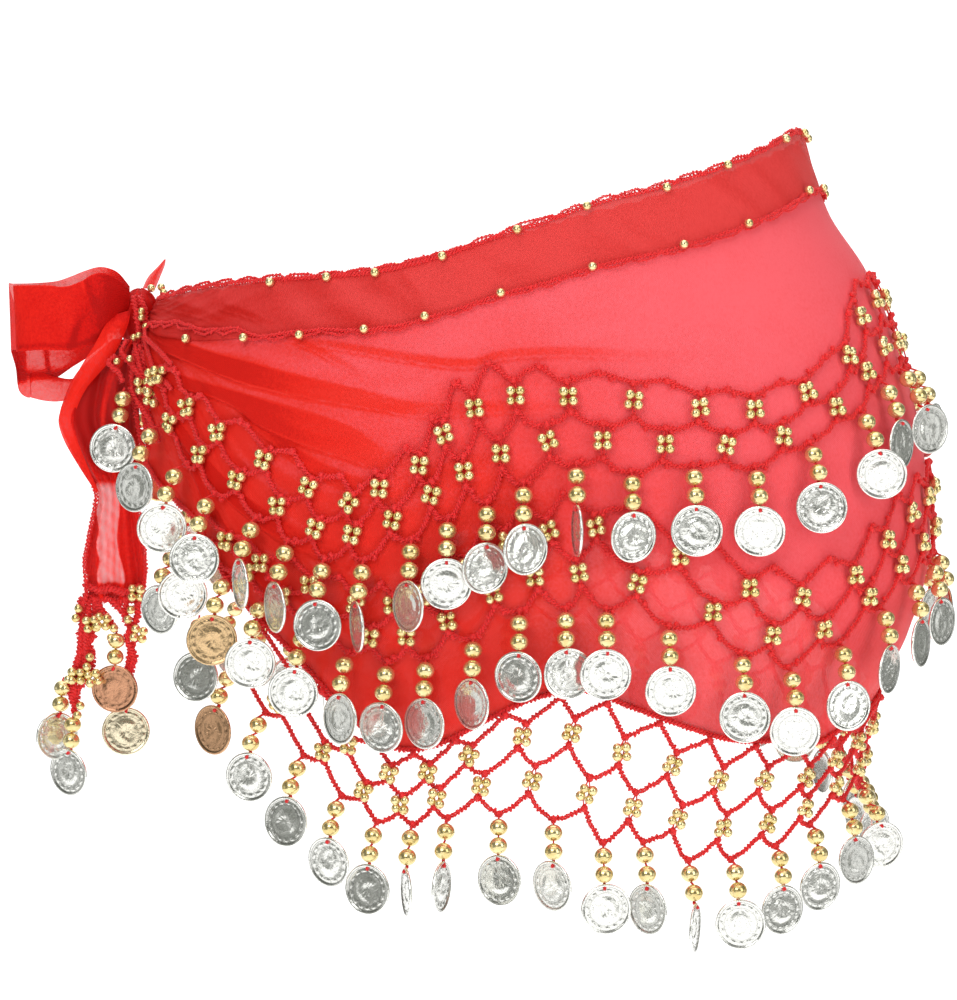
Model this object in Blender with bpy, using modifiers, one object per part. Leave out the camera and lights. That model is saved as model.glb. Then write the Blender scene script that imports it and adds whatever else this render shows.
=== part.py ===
"""Belly dance hip scarf: sheer cloth wrapped round the hips, tied in a bow at one side, with coin fringes.

Metres, +Z up. The origin is the middle of the waist opening, where the hips hold the scarf.
Lengths in the tables and functions are in millimetres, and each mesh is scaled to metres when it is made.
Angles are degrees round the hips: 180 is the knot, 270 the front, 360 the side away from the knot, 450 the back.
"""

import math

import bpy
from mathutils import Vector

METRES = 0.001

# Cloth and seams
CLOTH = 1.2
BAND_CLOTH = 1.8
SEAM_GAP = 0.4
BAND_DEPTH = 21.0
ROUNDNESS = 2.3

# Where the cloth leaves the knot at the front and comes back to it from behind, and where the two stretches meet
FRONT_START = 190.8
SIDE = 360.0
BACK_END = 540.4
SIDE_GAP = 0.1

# Crochet cord, and how far it lies off the cloth
CORD_HALF = 0.9
CORD_RISE = 1.7
CORD_CLEAR = 0.8

# Coins and the two beads above each
COIN_RADIUS = 9.5
COIN_RISE = 0.9
BEAD_RADIUS = 3.25
NECK = 0.9

# Across, up and out for what hangs facing the front
FACING_FRONT = (Vector((1, 0, 0)), Vector((0, 0, 1)), Vector((0, -1, 0)))

# The hip form under the cloth. Columns: height, centre x, half width, centre y, half depth
FORM = (
    (-320, 6, 120, 4, 102),
    (-260, 6, 122, 4, 104),
    (-220, 5, 127, 5, 107),
    (-190, 4.5, 134.5, 7, 111),
    (-165, 5, 148, 9, 115),
    (-140, 5, 158, 10, 118),
    (-110, 3, 160, 10, 117),
    (-80, 1, 157, 8, 113),
    (-60, -1.5, 153.5, 6, 109),
    (-40, -3, 148, 5, 103),
    (-20, -3, 137, 3, 97),
    (0, -2, 121, 2, 91),
    (20, -4, 114, 0, 86),
    (45, -6, 110, 0, 82),
)

# Top edge of the waistband. Columns: angle, height
TOP_EDGE = (
    (180, -33),
    (195, -32),
    (212, -27),
    (226, -24),
    (248, -20.5),
    (258, -15),
    (268, -5.5),
    (278, 4),
    (293, 11.5),
    (305, 17.5),
    (320, 24.5),
    (337, 31.5),
    (350, 31.5),
    (365, 28.5),
    (380, 24.5),
    (400, 17.5),
    (415, 10.5),
    (427, 4.5),
    (442, -3.5),
    (452, -11.5),
    (462, -18.5),
    (472, -24),
    (494, -30),
    (508, -33),
    (525, -36),
    (540, -36),
)

# Depth of the waistband, narrower where it goes into the knot. Columns: angle, depth
BAND = (
    (180, 9),
    (192, 10),
    (206, 17),
    (222, BAND_DEPTH),
    (360, BAND_DEPTH),
    (500, BAND_DEPTH),
    (520, 16),
    (540, 9),
)

# Hem of the cloth. Columns: angle, height
HEM = (
    (180, -50),
    (192, -53),
    (206, -68),
    (217, -92),
    (226, -136),
    (232, -161),
    (238, -179),
    (245, -192),
    (253, -193),
    (263, -181),
    (270, -176),
    (277, -178),
    (284, -184),
    (292, -190),
    (301, -197),
    (312, -201),
    (324, -199),
    (336, -196),
    (350, -191),
    (363, -188),
    (377, -180),
    (394, -166),
    (410, -158),
    (422, -153),
    (434, -147),
    (450, -138),
    (466, -142),
    (480, -150),
    (490, -149),
    (500, -138),
    (510, -120),
    (520, -92),
    (530, -64),
    (540, -52),
)

# Folds that fan out from the knot. Columns: angle, depth
FOLDS = (
    (180, 0.8),
    (194, 1.3),
    (208, 2.6),
    (224, 3.2),
    (240, 2.8),
    (255, 1.6),
    (272, 0.5),
    (290, 0.0),
    (430, 0.0),
    (450, 0.5),
    (468, 1.6),
    (484, 2.8),
    (500, 3.2),
    (516, 2.6),
    (532, 1.2),
    (540, 0.8),
)
FOLD_WAVES = 3.5
FADE_BELOW_HEM = 25.0

# Three crochet bands. Columns: number of the coin, angle, height of the top line, height of the coins' line,
# and how many degrees the top line is further round than the coins' line, because the net leans
UPPER_BAND = (
    (0, 205, -52, -79, -1),
    (1, 214.5, -62, -93, 0),
    (2, 224, -70, -103, 0),
    (3, 232, -80, -111, 2),
    (4, 237.5, -90, -119, 5),
    (5, 243, -95, -125, 6),
    (6, 248.8, -87, -125, 4),
    (7, 255.5, -78, -117, 2),
    (8, 260.2, -65, -109, 0),
    (9, 264.8, -54, -103, -1),
    (10, 268.6, -51, -96, 0),
    (11, 273.3, -55, -89, 0),
    (12, 279.5, -56, -92, 2),
    (13, 287.5, -61, -90, 3),
    (14, 296.5, -62, -91, 2),
    (15, 306.5, -57, -83, 2),
    (16, 319, -44, -72, 1),
    (17, 328, -28, -62, 0),
    (18, 339, -22, -58, 0),
    (20, 363, -24, -62, 0),
    (22, 384, -38, -72, 0),
    (24, 405, -48, -78, 0),
    (26, 425, -46, -78, 0),
    (28, 443, -40, -76, 0),
    (30, 459, -46, -80, 0),
    (32, 475, -58, -90, 0),
    (34, 489, -66, -98, 0),
    (36, 504, -60, -94, 0),
    (37, 514, -56, -88, 0),
    (38, 526, -54, -80, 0),
)
MIDDLE_BAND = (
    (0, 213, -106, -125, 0),
    (1, 223.5, -115, -133, 0),
    (2, 231.5, -122, -141, 1),
    (3, 238, -128, -151, 3),
    (4, 244, -134, -160, 4),
    (5, 250, -132, -163, 3),
    (6, 255.7, -127, -161, 1),
    (7, 262.1, -116, -153, 0),
    (8, 267.4, -106, -143, -1),
    (9, 271.4, -101, -142, -1.5),
    (10, 275.6, -99, -142, -1),
    (11, 283.4, -112, -149, 2),
    (12, 294.8, -125, -160, -0.5),
    (13, 304.3, -128, -167, -1.5),
    (14, 313.5, -122, -159, 0),
    (15, 321.5, -110, -147, 0),
    (16, 330.5, -101, -139, 0),
    (17, 341, -97, -134, 0),
    (18, 352.5, -95, -133, 0),
    (20, 373, -105, -140, 0),
    (22, 393, -104, -136, 0),
    (24, 412, -104, -136, 0),
    (26, 430, -98, -131, 0),
    (28, 447, -88, -122, 0),
    (30, 463, -90, -123, 0),
    (32, 478, -103, -133, 0),
    (33, 486, -106, -136, 0),
    (34, 493, -104, -133, 0),
    (35, 500, -99, -128, 0),
    (36, 508, -94, -118, 0),
)
HEM_BAND = (
    (0, 214.5, -128, -170, 2),
    (1, 222, -142, -187, 3),
    (2, 229.3, -160, -202, 4),
    (3, 236.5, -182, -213, 5),
    (4, 243.3, -190, -223, 5),
    (5, 250, -190, -223, 5),
    (6, 256, -183, -221, 6),
    (7, 264, -176, -220, 5),
    (8, 270.5, -174, -222, 3),
    (9, 277, -181, -231, 3.5),
    (10, 283.4, -189, -231, 6),
    (11, 291.3, -195, -239, 7),
    (12, 300.2, -197, -240, 8),
    (13, 310.5, -200, -237, 9),
    (14, 320.3, -196, -231, 8),
    (15, 333.5, -193, -225, 4),
    (16, 346, -190, -224, 1),
    (18, 363, -190, -226, 0),
    (20, 379, -184, -221, 0),
    (22, 399, -166, -203, 0),
    (24, 418, -157, -195, 0),
    (26, 433.5, -149, -187, 0),
    (28, 447, -140, -180, 0),
    (30, 460, -140, -181, 0),
    (32, 473.5, -147, -186, 0),
    (34, 487, -151, -184, 0),
    (35, 493.5, -146, -178, 0),
    (36, 500, -140, -172, 0),
    (37, 506, -130, -164, 0),
)
# Heights of each line's low and high corners, as shares of the way up from the coins' line to the top line
LINE_LEVELS = {"coins": (0.0, 0.18), "middle": (0.41, 0.59), "top": (0.82, 1.0)}

# First and last index of the crochet at the knot, and where front and back meet, for each band
UPPER_ENDS = (0.0, 18.25, 38.0)
MIDDLE_NET_ENDS = (2.0, 18.25, 33.5)
MIDDLE_ENDS = (0.0, 18.25, 36.0)
HEM_NET_ENDS = (2.0, 17.75, 36.0)
HEM_ENDS = (0.0, 17.75, 37.0)
MEETING_GAP = 0.02

# How far each coin is turned on its thread, along the band
UPPER_TURNS = (
    (-20, -55, -30, 37, 42, 0, 59, 45, -8, -33, -28, 78, -18, 14, 24, 34, 46, -6, 32, 12)
    + (10, -15, 20, -8, 60, 5, -20, 15, 70, -10, 8, -25, 62, 12, -5, 30, -15, 20, 40)
)
MIDDLE_TURNS = (
    (-45, -35, -38, -12, 29, 18, 31, 45, 22, -12, -8, 8, 20, 30, 12, -15, -8, 20, -15)
    + (5, 55, 10, -20, 15, -62, 8, 25, -10, 60, 0, -18, 14, -50, 22, 10, -12, 40)
)
HEM_TURNS = (
    (-8, -21, -5, 6, 11, 60, -78, 29, 44, -4, 56, -62, 30, 0, 20, 20, 62, 5, 50)
    + (-15, 58, 8, -48, 12, 66, -20, 45, 70, 0, -52, 15, 60, -10, 48, -65, 10, 35, -12)
)

# Where the bands crowd together by the knot, the coins stand further off. Columns: angle, extra distance
LIFT = (
    (180, 4.2),
    (238, 4.2),
    (262, 0.0),
    (266, 0.0),
    (268.6, 3.0),
    (271.8, 0.0),
    (275.6, 3.0),
    (279, 0.0),
    (455, 0.0),
    (476, 4.2),
    (540, 4.2),
)

# A coin on its thread. Columns: distance below the chain, half width, distance of its middle from the cloth
BEADS = (
    (4.3, BEAD_RADIUS, 4.4),
    (7.5, NECK, 5.0),
    (10.7, BEAD_RADIUS, 6.3),
    (14.0, NECK, 6.3),
)
COIN_DROP = 14.0
COIN_STANDS_OFF = 6.6
COIN_SHARES = ((0.17, 0.78), (0.5, 1.0), (0.83, 0.78), (1.0, 0.3))

KNOT_CENTRE = (-154.3, -8.2, -41)
KNOT_HALF = (8.6, 11.0, 12.5)
KNOT_PLEATS = 5

# The bow's loop, out from the knot, round its fold and back. Columns: x, y, height of the middle, half height
LOOP = (
    (-163.8, -11, -40, 6),
    (-170, -17, -35.5, 13),
    (-178, -20, -36, 15.5),
    (-190, -19, -38.5, 15),
    (-201, -14, -40.5, 14),
    (-206.5, -8, -42.5, 13.5),
    (-205, -2, -50, 13.5),
    (-197, 3, -58, 14),
    (-187, 5, -61.5, 11.5),
    (-178, 4, -59.5, 8.5),
    (-170, 0, -54, 6),
    (-163.8, -5, -47, 4),
)
LOOP_COLUMNS = 24
LOOP_ROWS = 4

# The tie's hanging end. Columns: height, left edge x, right edge x, y, depth of its pleats
TAIL = (
    (-48, -162, -154.5, -18.3, 0.8),
    (-54, -169, -154, -22.6, 1.5),
    (-61, -179, -155, -24.3, 3.0),
    (-70, -182, -157, -25, 4.0),
    (-79, -184, -158, -25, 4.5),
    (-88, -182, -158.5, -24.5, 4.5),
    (-99, -176.5, -158, -24, 4.0),
    (-109, -171, -157, -23, 3.0),
    (-120, -174, -156, -22, 3.5),
    (-132, -177, -155, -21, 3.0),
    (-143, -177.5, -154, -20.5, 3.0),
    (-153, -177, -154, -20, 2.5),
)
TAIL_PLEATS = 2.5
TAIL_COLUMNS = 12
TAIL_ROWS = 16

# Crochet at the end of the tie: corner points of the chain, as x, y and height, its cords and its coins' turns
TAIL_CHAIN = (
    ("left", -176.5, -19.5, -155),
    ("low_left", -172.5, -19.5, -161.5),
    ("peak", -168, -19.5, -155.5),
    ("coin_high", -163.3, -22.5, -162.5),
    ("right", -157.5, -19.5, -156),
    ("rope", -177, -20, -176),
    ("coin_low", -180.5, -22.5, -196),
    ("coin_left", -185, -16.5, -182),
    ("right_rope", -157, -18.5, -168),
    ("coin_right", -159.5, -17.5, -180),
)
TAIL_CORDS = (
    ("left", "low_left"),
    ("low_left", "peak"),
    ("peak", "coin_high"),
    ("coin_high", "right"),
    ("low_left", "rope"),
    ("rope", "coin_low"),
    ("rope", "coin_left"),
    ("right", "right_rope"),
    ("right_rope", "coin_right"),
)
TAIL_COINS = (("coin_high", 10), ("coin_low", 15), ("coin_left", -12), ("coin_right", -10))

# A coin that hangs in front of the tie, on a cord from the upper band: x, y, height and turn
TIE_COIN = (-161, -32.5, -66, 8)

# The short end that stands up out of the knot. Columns: x, y, height, half width
TIP = (
    (-152, -7, -28.5, 2.6),
    (-150, -6, -24, 2.4),
    (-147.5, -5, -19.5, 1.2),
    (-146.5, -5, -17, 0.3),
)


def value(table, column, x):
    """A column's value at x in the table's first column, on a smooth curve through the rows."""
    last = len(table) - 1

    def slope(i):
        before, after = table[max(i - 1, 0)], table[min(i + 1, last)]
        return (after[column] - before[column]) / (after[0] - before[0])

    i = min(max(sum(row[0] <= x for row in table) - 1, 0), last - 1)
    run = table[i + 1][0] - table[i][0]
    t = min(max((x - table[i][0]) / run, 0.0), 1.0)
    start, end = table[i][column], table[i + 1][column]
    return (
        start * (1 + 2 * t) * (1 - t) ** 2
        + end * t * t * (3 - 2 * t)
        + run * slope(i) * t * (1 - t) ** 2
        - run * slope(i + 1) * t * t * (1 - t)
    )


def straight(table, column, x):
    """A column's value at x, on straight lines between the rows."""
    for low, high in zip(table, table[1:]):
        if x <= high[0]:
            t = max((x - low[0]) / (high[0] - low[0]), 0.0)
            return low[column] + t * (high[column] - low[column])
    return table[-1][column]


def hips(angle, height, out=0.0):
    """A point on the hip form, moved out by that much."""
    centre_x, half_width, centre_y, half_depth = (value(FORM, c, height) for c in (1, 2, 3, 4))
    cosine, sine = math.cos(math.radians(angle)), math.sin(math.radians(angle))
    power = 2 / ROUNDNESS
    x = centre_x + (half_width + out) * math.copysign(abs(cosine) ** power, cosine)
    y = centre_y + (half_depth + out) * math.copysign(abs(sine) ** power, sine)
    return Vector((x, y, height))


def top_edge(angle):
    return value(TOP_EDGE, 1, angle)


def seam(angle):
    """Height of the seam under the waistband."""
    return top_edge(angle) - value(BAND, 1, angle)


def hem(angle):
    return value(HEM, 1, angle)


def fold(angle, height):
    """How far the folds that fan out from the knot push the cloth out here."""
    share = (seam(angle) - height) / (seam(angle) - hem(angle))
    fade = 1.0 - min(max((hem(angle) - height) / FADE_BELOW_HEM, 0.0), 1.0)
    wave = 0.5 - 0.5 * math.cos(2 * math.pi * FOLD_WAVES * min(max(share, 0.0), 1.0))
    return straight(FOLDS, 1, angle) * wave * fade


def cloth(angle, height, out=0.0):
    """A point on the cloth's outer face, moved out by that much."""
    return hips(angle, height, out + fold(angle, height))


def frame(angle, height):
    """Directions on the cloth: across to the right as seen from outside, up, and out."""
    across = (hips(angle + 0.5, height) - hips(angle - 0.5, height)).normalized()
    up = (hips(angle, height + 1) - hips(angle, height - 1)).normalized()
    return across, up, across.cross(up).normalized()


def add_object(name, points, faces, finish):
    """A mesh object from points in millimetres."""
    mesh = bpy.data.meshes.new(name)
    mesh.from_pydata([point * METRES for point in points], [], faces)
    mesh.materials.append(finish)
    made = bpy.data.objects.new(name, mesh)
    PARTS.objects.link(made)
    return made


def add_wall(name, rows, thickness, finish):
    """A cloth wall: an open sheet through rows of points, thickened inwards."""
    columns = len(rows[0])
    points = [point for row in rows for point in row]
    faces = [
        (r * columns + c, (r + 1) * columns + c, (r + 1) * columns + c + 1, r * columns + c + 1)
        for r in range(len(rows) - 1)
        for c in range(columns - 1)
    ]
    sheet = add_object(name, points, faces, finish)
    sheet.data.shade_smooth()
    wall = sheet.modifiers.new("cloth", "SOLIDIFY")
    wall.thickness = thickness * METRES
    wall.offset = -1.0
    return sheet


def wrapped_wall(name, angles, top, bottom, row_count, thickness, finish):
    """A stretch of cloth round the hips between two edges."""
    rows = []
    for r in range(row_count + 1):
        share = r / row_count
        heights = [top(angle) + share * (bottom(angle) - top(angle)) for angle in angles]
        rows.append([cloth(angle, height) for angle, height in zip(angles, heights)])
    return add_wall(name, rows, thickness, finish)


def spread(start, end, count, crowding=1.0):
    """Angles from start to end, closer together at the start where crowding is over 1."""
    return [start + (end - start) * (i / count) ** crowding for i in range(count + 1)]


def panel_top(angle):
    return seam(angle) - SEAM_GAP / 2


def band_bottom(angle):
    return seam(angle) + SEAM_GAP / 2


def band_values(band, i):
    """Angle, top height and coin line height of a band at coin number i."""
    return (value(band, column, i) for column in (1, 2, 3))


def line_point(band, line, i):
    """Angle and height of a chain line at coin number i. It zigzags between its low and high corners."""
    angle, top, bottom = band_values(band, i)
    low, high = LINE_LEVELS[line]
    rise = 1.0 - abs(2.0 * (i % 1.0) - 1.0)
    if line == "middle":
        rise = 1.0 - rise
    share = low + (high - low) * rise
    return angle + share * value(band, 4, i), bottom + (top - bottom) * share


def steps(start, end):
    """The ends, and the corners at each half between them."""
    inner = [n / 2 for n in range(math.ceil(start * 2 + 0.1), math.floor(end * 2 - 0.1) + 1)]
    return [start, *inner, end]


def cord_clear(angle):
    """Distance from the cloth to the back of a cord: more over the deep folds, which the cord spans."""
    return CORD_CLEAR + 0.5 * straight(FOLDS, 1, angle)


def knot_at(angle, height):
    """A corner of the crochet on the cloth, with its directions."""
    return cloth(angle, height, cord_clear(angle)), *frame(angle, height)


def corner(along, other):
    """Where the sides of two cords meet, seen from their shared corner, in the plane of the net."""
    turn = along[0] * other[1] - along[1] * other[0]
    if abs(turn) < 0.05:
        return (-along[1] * CORD_HALF, along[0] * CORD_HALF)
    x, y = ((along[n] + other[n]) / turn * CORD_HALF for n in (0, 1))
    reach = math.hypot(x, y) / (3.0 * CORD_HALF)
    return (x / max(reach, 1.0), y / max(reach, 1.0))


def add_net(name, knots, cords, hangers, finish):
    """Cords of three sides between knots, with mitred corners, and strands that hang from some knots.

    knots: key to position, across, up and out. cords: pairs of keys.
    hangers: key to rings, and each ring is three points: left, right and front, looking down the strand.
    """
    points, faces = [], []
    neighbours = {key: [] for key in knots}
    for first, second in cords:
        neighbours[first].append(second)
        neighbours[second].append(first)
    ridge, sides = {}, {}
    for key, (place, across, up, out) in knots.items():
        ridge[key] = len(points)
        points.append(place + out * CORD_RISE)
        ways = []
        for other in neighbours[key]:
            run = knots[other][0] - place
            flat = Vector((run.dot(across), run.dot(up))).normalized()
            ways.append((math.atan2(flat.y, flat.x), other, (flat.x, flat.y)))
        if key in hangers:
            ways.append((-math.pi / 2, "strand", (0.0, -1.0)))
        ways.sort(key=lambda way: way[0])
        found = []
        for n, (_, _, along) in enumerate(ways):
            if len(ways) == 1:
                spot = (-along[1] * CORD_HALF, along[0] * CORD_HALF)
            else:
                spot = corner(along, ways[(n + 1) % len(ways)][2])
            found.append(len(points))
            points.append(place + across * spot[0] + up * spot[1])
        if len(ways) == 1:
            along = ways[0][2]
            found.append(len(points))
            points.append(place + across * (along[1] * CORD_HALF) - up * (along[0] * CORD_HALF))
            sides[key, ways[0][1]] = (found[0], found[1])
            faces.append((found[0], found[1], ridge[key]))
            continue
        for n, (_, other, _) in enumerate(ways):
            sides[key, other] = (found[n], found[n - 1])
        if len(found) > 2:
            faces.append(tuple(reversed(found)))
    for first, second in cords:
        left, right = sides[first, second]
        far_right, far_left = sides[second, first]
        faces.append((ridge[first], ridge[second], far_left, left))
        faces.append((ridge[first], right, far_right, ridge[second]))
        faces.append((left, far_left, far_right, right))
    for key, rings in hangers.items():
        left, right = sides[key, "strand"]
        front = ridge[key]
        for ring in rings:
            start = len(points)
            points.extend(ring)
            faces.append((front, start + 2, start, left))
            faces.append((front, right, start + 1, start + 2))
            faces.append((left, start, start + 1, right))
            left, right, front = start, start + 1, start + 2
        faces.append((right, left, front))
    return add_object(name, points, faces, finish)


def strand_rings(places, across, out, turn):
    """Rings of a coin strand. places: for each ring its middle, half width and whether it is on the coin."""
    swing = math.radians(turn)
    coin_across = across * math.cos(swing) + out * math.sin(swing)
    coin_out = out * math.cos(swing) - across * math.sin(swing)
    rings = []
    for middle, half, on_coin in places:
        if on_coin:
            back = middle - coin_out * (COIN_RISE / 3)
            front = middle + coin_out * (COIN_RISE * 2 / 3)
            rings.append((back + coin_across * half, back - coin_across * half, front))
        else:
            back = middle - out * (half / 2)
            rings.append((back + across * half, back - across * half, middle + out * half))
    return rings


def coin_strand(angle, height, turn, crowd):
    """The rings of a coin and its beads that hang from the cloth at this angle and height."""
    start = hips(angle, height)
    tangent = frame(angle, height)[0]
    across = Vector((tangent.x, tangent.y, 0)).normalized()
    out = across.cross(Vector((0, 0, 1)))
    edge_on = COIN_RADIUS * abs(math.sin(math.radians(turn))) + 2.8
    coin_off = max(COIN_STANDS_OFF + crowd, edge_on)
    stations = [(drop, half, off + (coin_off - COIN_STANDS_OFF) * (drop / COIN_DROP) ** 2, False)
                for drop, half, off in BEADS]
    for share, width in COIN_SHARES:
        drop = COIN_DROP + share * 2 * COIN_RADIUS
        stations.append((drop, width * COIN_RADIUS, coin_off, True))
    places, furthest = [], 0.0
    for drop, half, off, on_coin in stations:
        under = cloth(angle, height - drop, cord_clear(angle) - CORD_CLEAR)
        furthest = max(furthest, (under - start).dot(out))
        middle = start + out * (furthest + off) - Vector((0, 0, drop))
        places.append((middle, half, on_coin))
    return strand_rings(places, across, out, turn)


def add_band_net(name, band, start, end, finish):
    """The two upper chain lines of a band and the links that hang from them."""
    knots, cords = {}, []
    for line in ("top", "middle"):
        stops = steps(start, end)
        for i in stops:
            knots[line, i] = knot_at(*line_point(band, line, i))
        cords += [((line, a), (line, b)) for a, b in zip(stops, stops[1:])]
    for i in steps(start, end)[1:-1]:
        if i == int(i):
            cords.append((("top", i), ("middle", i)))
        else:
            angle, height = line_point(band, "coins", i)
            knots["link", i] = knot_at(angle, height + CORD_HALF * 2 + SEAM_GAP)
            cords.append((("middle", i), ("link", i)))
    return add_net(name, knots, cords, {}, finish)


def free_strand(place, across, up, out, turn):
    """The rings of a coin and its beads that hang straight down from a chain."""
    start = place + out * (CORD_RISE / 2)
    places = [(start - up * drop, half, False) for drop, half, _ in BEADS]
    for share, width in COIN_SHARES:
        drop = COIN_DROP + share * 2 * COIN_RADIUS
        places.append((start - up * drop, width * COIN_RADIUS, True))
    return strand_rings(places, across, out, turn)


def add_coin_fringe(name, band, turns, start, end, finish, tie_coin=None):
    """The lowest chain line of a band, which backs its coins: a coin hangs from each low corner."""
    stops = steps(start, end)
    knots = {i: knot_at(*line_point(band, "coins", i)) for i in stops}
    cords = list(zip(stops, stops[1:]))
    hangers = {}
    for i in stops:
        if i == int(i):
            angle, height = line_point(band, "coins", i)
            turn = turns[int(i)]
            hangers[i] = coin_strand(angle, height, turn, straight(LIFT, 1, angle))
    if tie_coin:
        knots["tie"] = (Vector(tie_coin[:3]), *FACING_FRONT)
        cords.append(("tie", stops[0]))
        hangers["tie"] = free_strand(*knots["tie"], tie_coin[3])
    return add_net(name, knots, cords, hangers, finish)


def add_band(prefix, band, turns, net_ends, coin_ends, cord_finish, coin_finish):
    """Net and coin fringe of one band, front and back."""
    for side, first, gap_start, gap_end in (("front", 0, 0, 1), ("back", 1, 1, 0)):
        for kind, ends in (("net", net_ends), ("coins", coin_ends)):
            start = ends[first] + gap_start * MEETING_GAP
            end = ends[first + 1] - gap_end * MEETING_GAP
            if kind == "net":
                add_band_net(f"{prefix}_net_{side}", band, start, end, cord_finish)
            else:
                tie_coin = TIE_COIN if (prefix, side) == ("upper", "front") else None
                add_coin_fringe(f"{prefix}_coins_{side}", band, turns, start, end, coin_finish, tie_coin)


def add_knot(finish):
    """The knot: a small bundle with pleats that wind round it."""
    bpy.ops.mesh.primitive_uv_sphere_add(segments=20, ring_count=9, radius=1.0)
    knot = bpy.context.object
    knot.name = "knot"
    for vertex in knot.data.vertices:
        x, y, z = vertex.co
        pleat = math.cos(KNOT_PLEATS * math.atan2(y, x) + 2.0 * z)
        swell = 1.0 + 0.09 * pleat * (1.0 - z * z)
        size = [half * swell for half in KNOT_HALF]
        vertex.co = Vector((x * size[0], y * size[1], z * size[2])) * METRES
    knot.location = Vector(KNOT_CENTRE) * METRES
    knot.data.materials.append(finish)
    knot.data.shade_smooth()
    for collection in knot.users_collection:
        collection.objects.unlink(knot)
    PARTS.objects.link(knot)


def add_loop(finish):
    """The bow's loop: one ribbon on edge that leaves the knot, folds and comes back behind itself."""
    numbered = [(n, *row) for n, row in enumerate(LOOP)]
    rows = []
    for r in range(LOOP_ROWS + 1):
        share = 1.0 - 2.0 * r / LOOP_ROWS
        row = []
        for c in range(LOOP_COLUMNS + 1):
            n = c * (len(LOOP) - 1) / LOOP_COLUMNS
            x, y, middle, half = (value(numbered, column, n) for column in (1, 2, 3, 4))
            row.append(Vector((x, y, middle + share * half)))
        rows.append(row)
    return add_wall("bow_loop", rows, CLOTH, finish)


def add_tail(finish):
    """The tie's hanging end, pleated along its length."""
    table = sorted(TAIL)
    top, bottom = TAIL[0][0], TAIL[-1][0]
    rows = []
    for r in range(TAIL_ROWS + 1):
        height = top + (bottom - top) * r / TAIL_ROWS
        left, right, y, pleat = (value(table, column, height) for column in (1, 2, 3, 4))
        row = []
        for c in range(TAIL_COLUMNS + 1):
            share = c / TAIL_COLUMNS
            wave = pleat / 2 * math.cos(2 * math.pi * TAIL_PLEATS * share)
            row.append(Vector((left + share * (right - left), y + wave, height)))
        rows.append(row)
    return add_wall("tail", rows, CLOTH, finish)


def add_tip(finish):
    """The short end above the knot: a narrow pointed fold."""
    rows = [[Vector((x + side * half, y + abs(side) * half / 2, height)) for side in (-1, 0, 1)]
            for x, y, height, half in reversed(TIP)]
    return add_wall("tie_tip", rows, CLOTH, finish)


def add_tail_coins(finish):
    """Crochet at the end of the tie, with its coins."""
    knots = {key: (Vector((x, y, height)), *FACING_FRONT) for key, x, y, height in TAIL_CHAIN}
    hangers = {key: free_strand(*knots[key], turn) for key, turn in TAIL_COINS}
    return add_net("tail_coins", knots, TAIL_CORDS, hangers, finish)


def finish_of(name, colour, roughness, metallic):
    """A plain material."""
    made = bpy.data.materials.new(name)
    made.use_nodes = True
    shader = made.node_tree.nodes["Principled BSDF"]
    shader.inputs["Base Color"].default_value = (*colour, 1.0)
    shader.inputs["Roughness"].default_value = roughness
    shader.inputs["Metallic"].default_value = metallic
    return made


for old in list(bpy.data.objects):
    bpy.data.objects.remove(old)
PARTS = bpy.data.collections.new("hip_scarf")
bpy.context.scene.collection.children.link(PARTS)

chiffon = finish_of("chiffon", (0.85, 0.04, 0.05), 0.6, 0.0)
band_chiffon = finish_of("band_chiffon", (0.62, 0.03, 0.04), 0.6, 0.0)
crochet = finish_of("crochet", (0.70, 0.01, 0.02), 0.7, 0.0)
coin_metal = finish_of("coin_metal", (0.86, 0.78, 0.55), 0.25, 1.0)

front_angles = spread(FRONT_START, SIDE - SIDE_GAP, 32, 1.3)
back_angles = list(reversed(spread(BACK_END, SIDE + SIDE_GAP, 26, 1.3)))
wrapped_wall("panel_front", front_angles, panel_top, hem, 14, CLOTH, chiffon)
wrapped_wall("panel_back", back_angles, panel_top, hem, 12, CLOTH, chiffon)
wrapped_wall("waistband_front", front_angles, top_edge, band_bottom, 2, BAND_CLOTH, band_chiffon)
wrapped_wall("waistband_back", back_angles, top_edge, band_bottom, 2, BAND_CLOTH, band_chiffon)
add_band("upper", UPPER_BAND, UPPER_TURNS, UPPER_ENDS, UPPER_ENDS, crochet, coin_metal)
add_band("middle", MIDDLE_BAND, MIDDLE_TURNS, MIDDLE_NET_ENDS, MIDDLE_ENDS, crochet, coin_metal)
add_band("hem", HEM_BAND, HEM_TURNS, HEM_NET_ENDS, HEM_ENDS, crochet, coin_metal)
add_knot(chiffon)
add_loop(chiffon)
add_tail(chiffon)
add_tip(chiffon)
add_tail_coins(coin_metal)
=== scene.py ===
"""Looks of the belly dance hip scarf: sheer chiffon, crochet nets, gold beads and embossed coins.

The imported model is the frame. Lengths below are in millimetres and are scaled to metres when a mesh is made.
Angles are degrees round the hips: 180 is the knot, 270 the front, 360 the side away from it, 450 the back.
"""

import math
from functools import lru_cache

import bpy
from mathutils import Matrix, Vector, noise


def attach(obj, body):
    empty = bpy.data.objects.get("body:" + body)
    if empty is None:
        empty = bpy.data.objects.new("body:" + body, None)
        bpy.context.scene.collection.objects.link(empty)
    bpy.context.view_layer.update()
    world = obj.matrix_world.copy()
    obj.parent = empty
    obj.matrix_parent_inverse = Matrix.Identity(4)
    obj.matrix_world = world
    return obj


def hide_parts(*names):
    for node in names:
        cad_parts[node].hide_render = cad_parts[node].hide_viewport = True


METRES = 0.001

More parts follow.
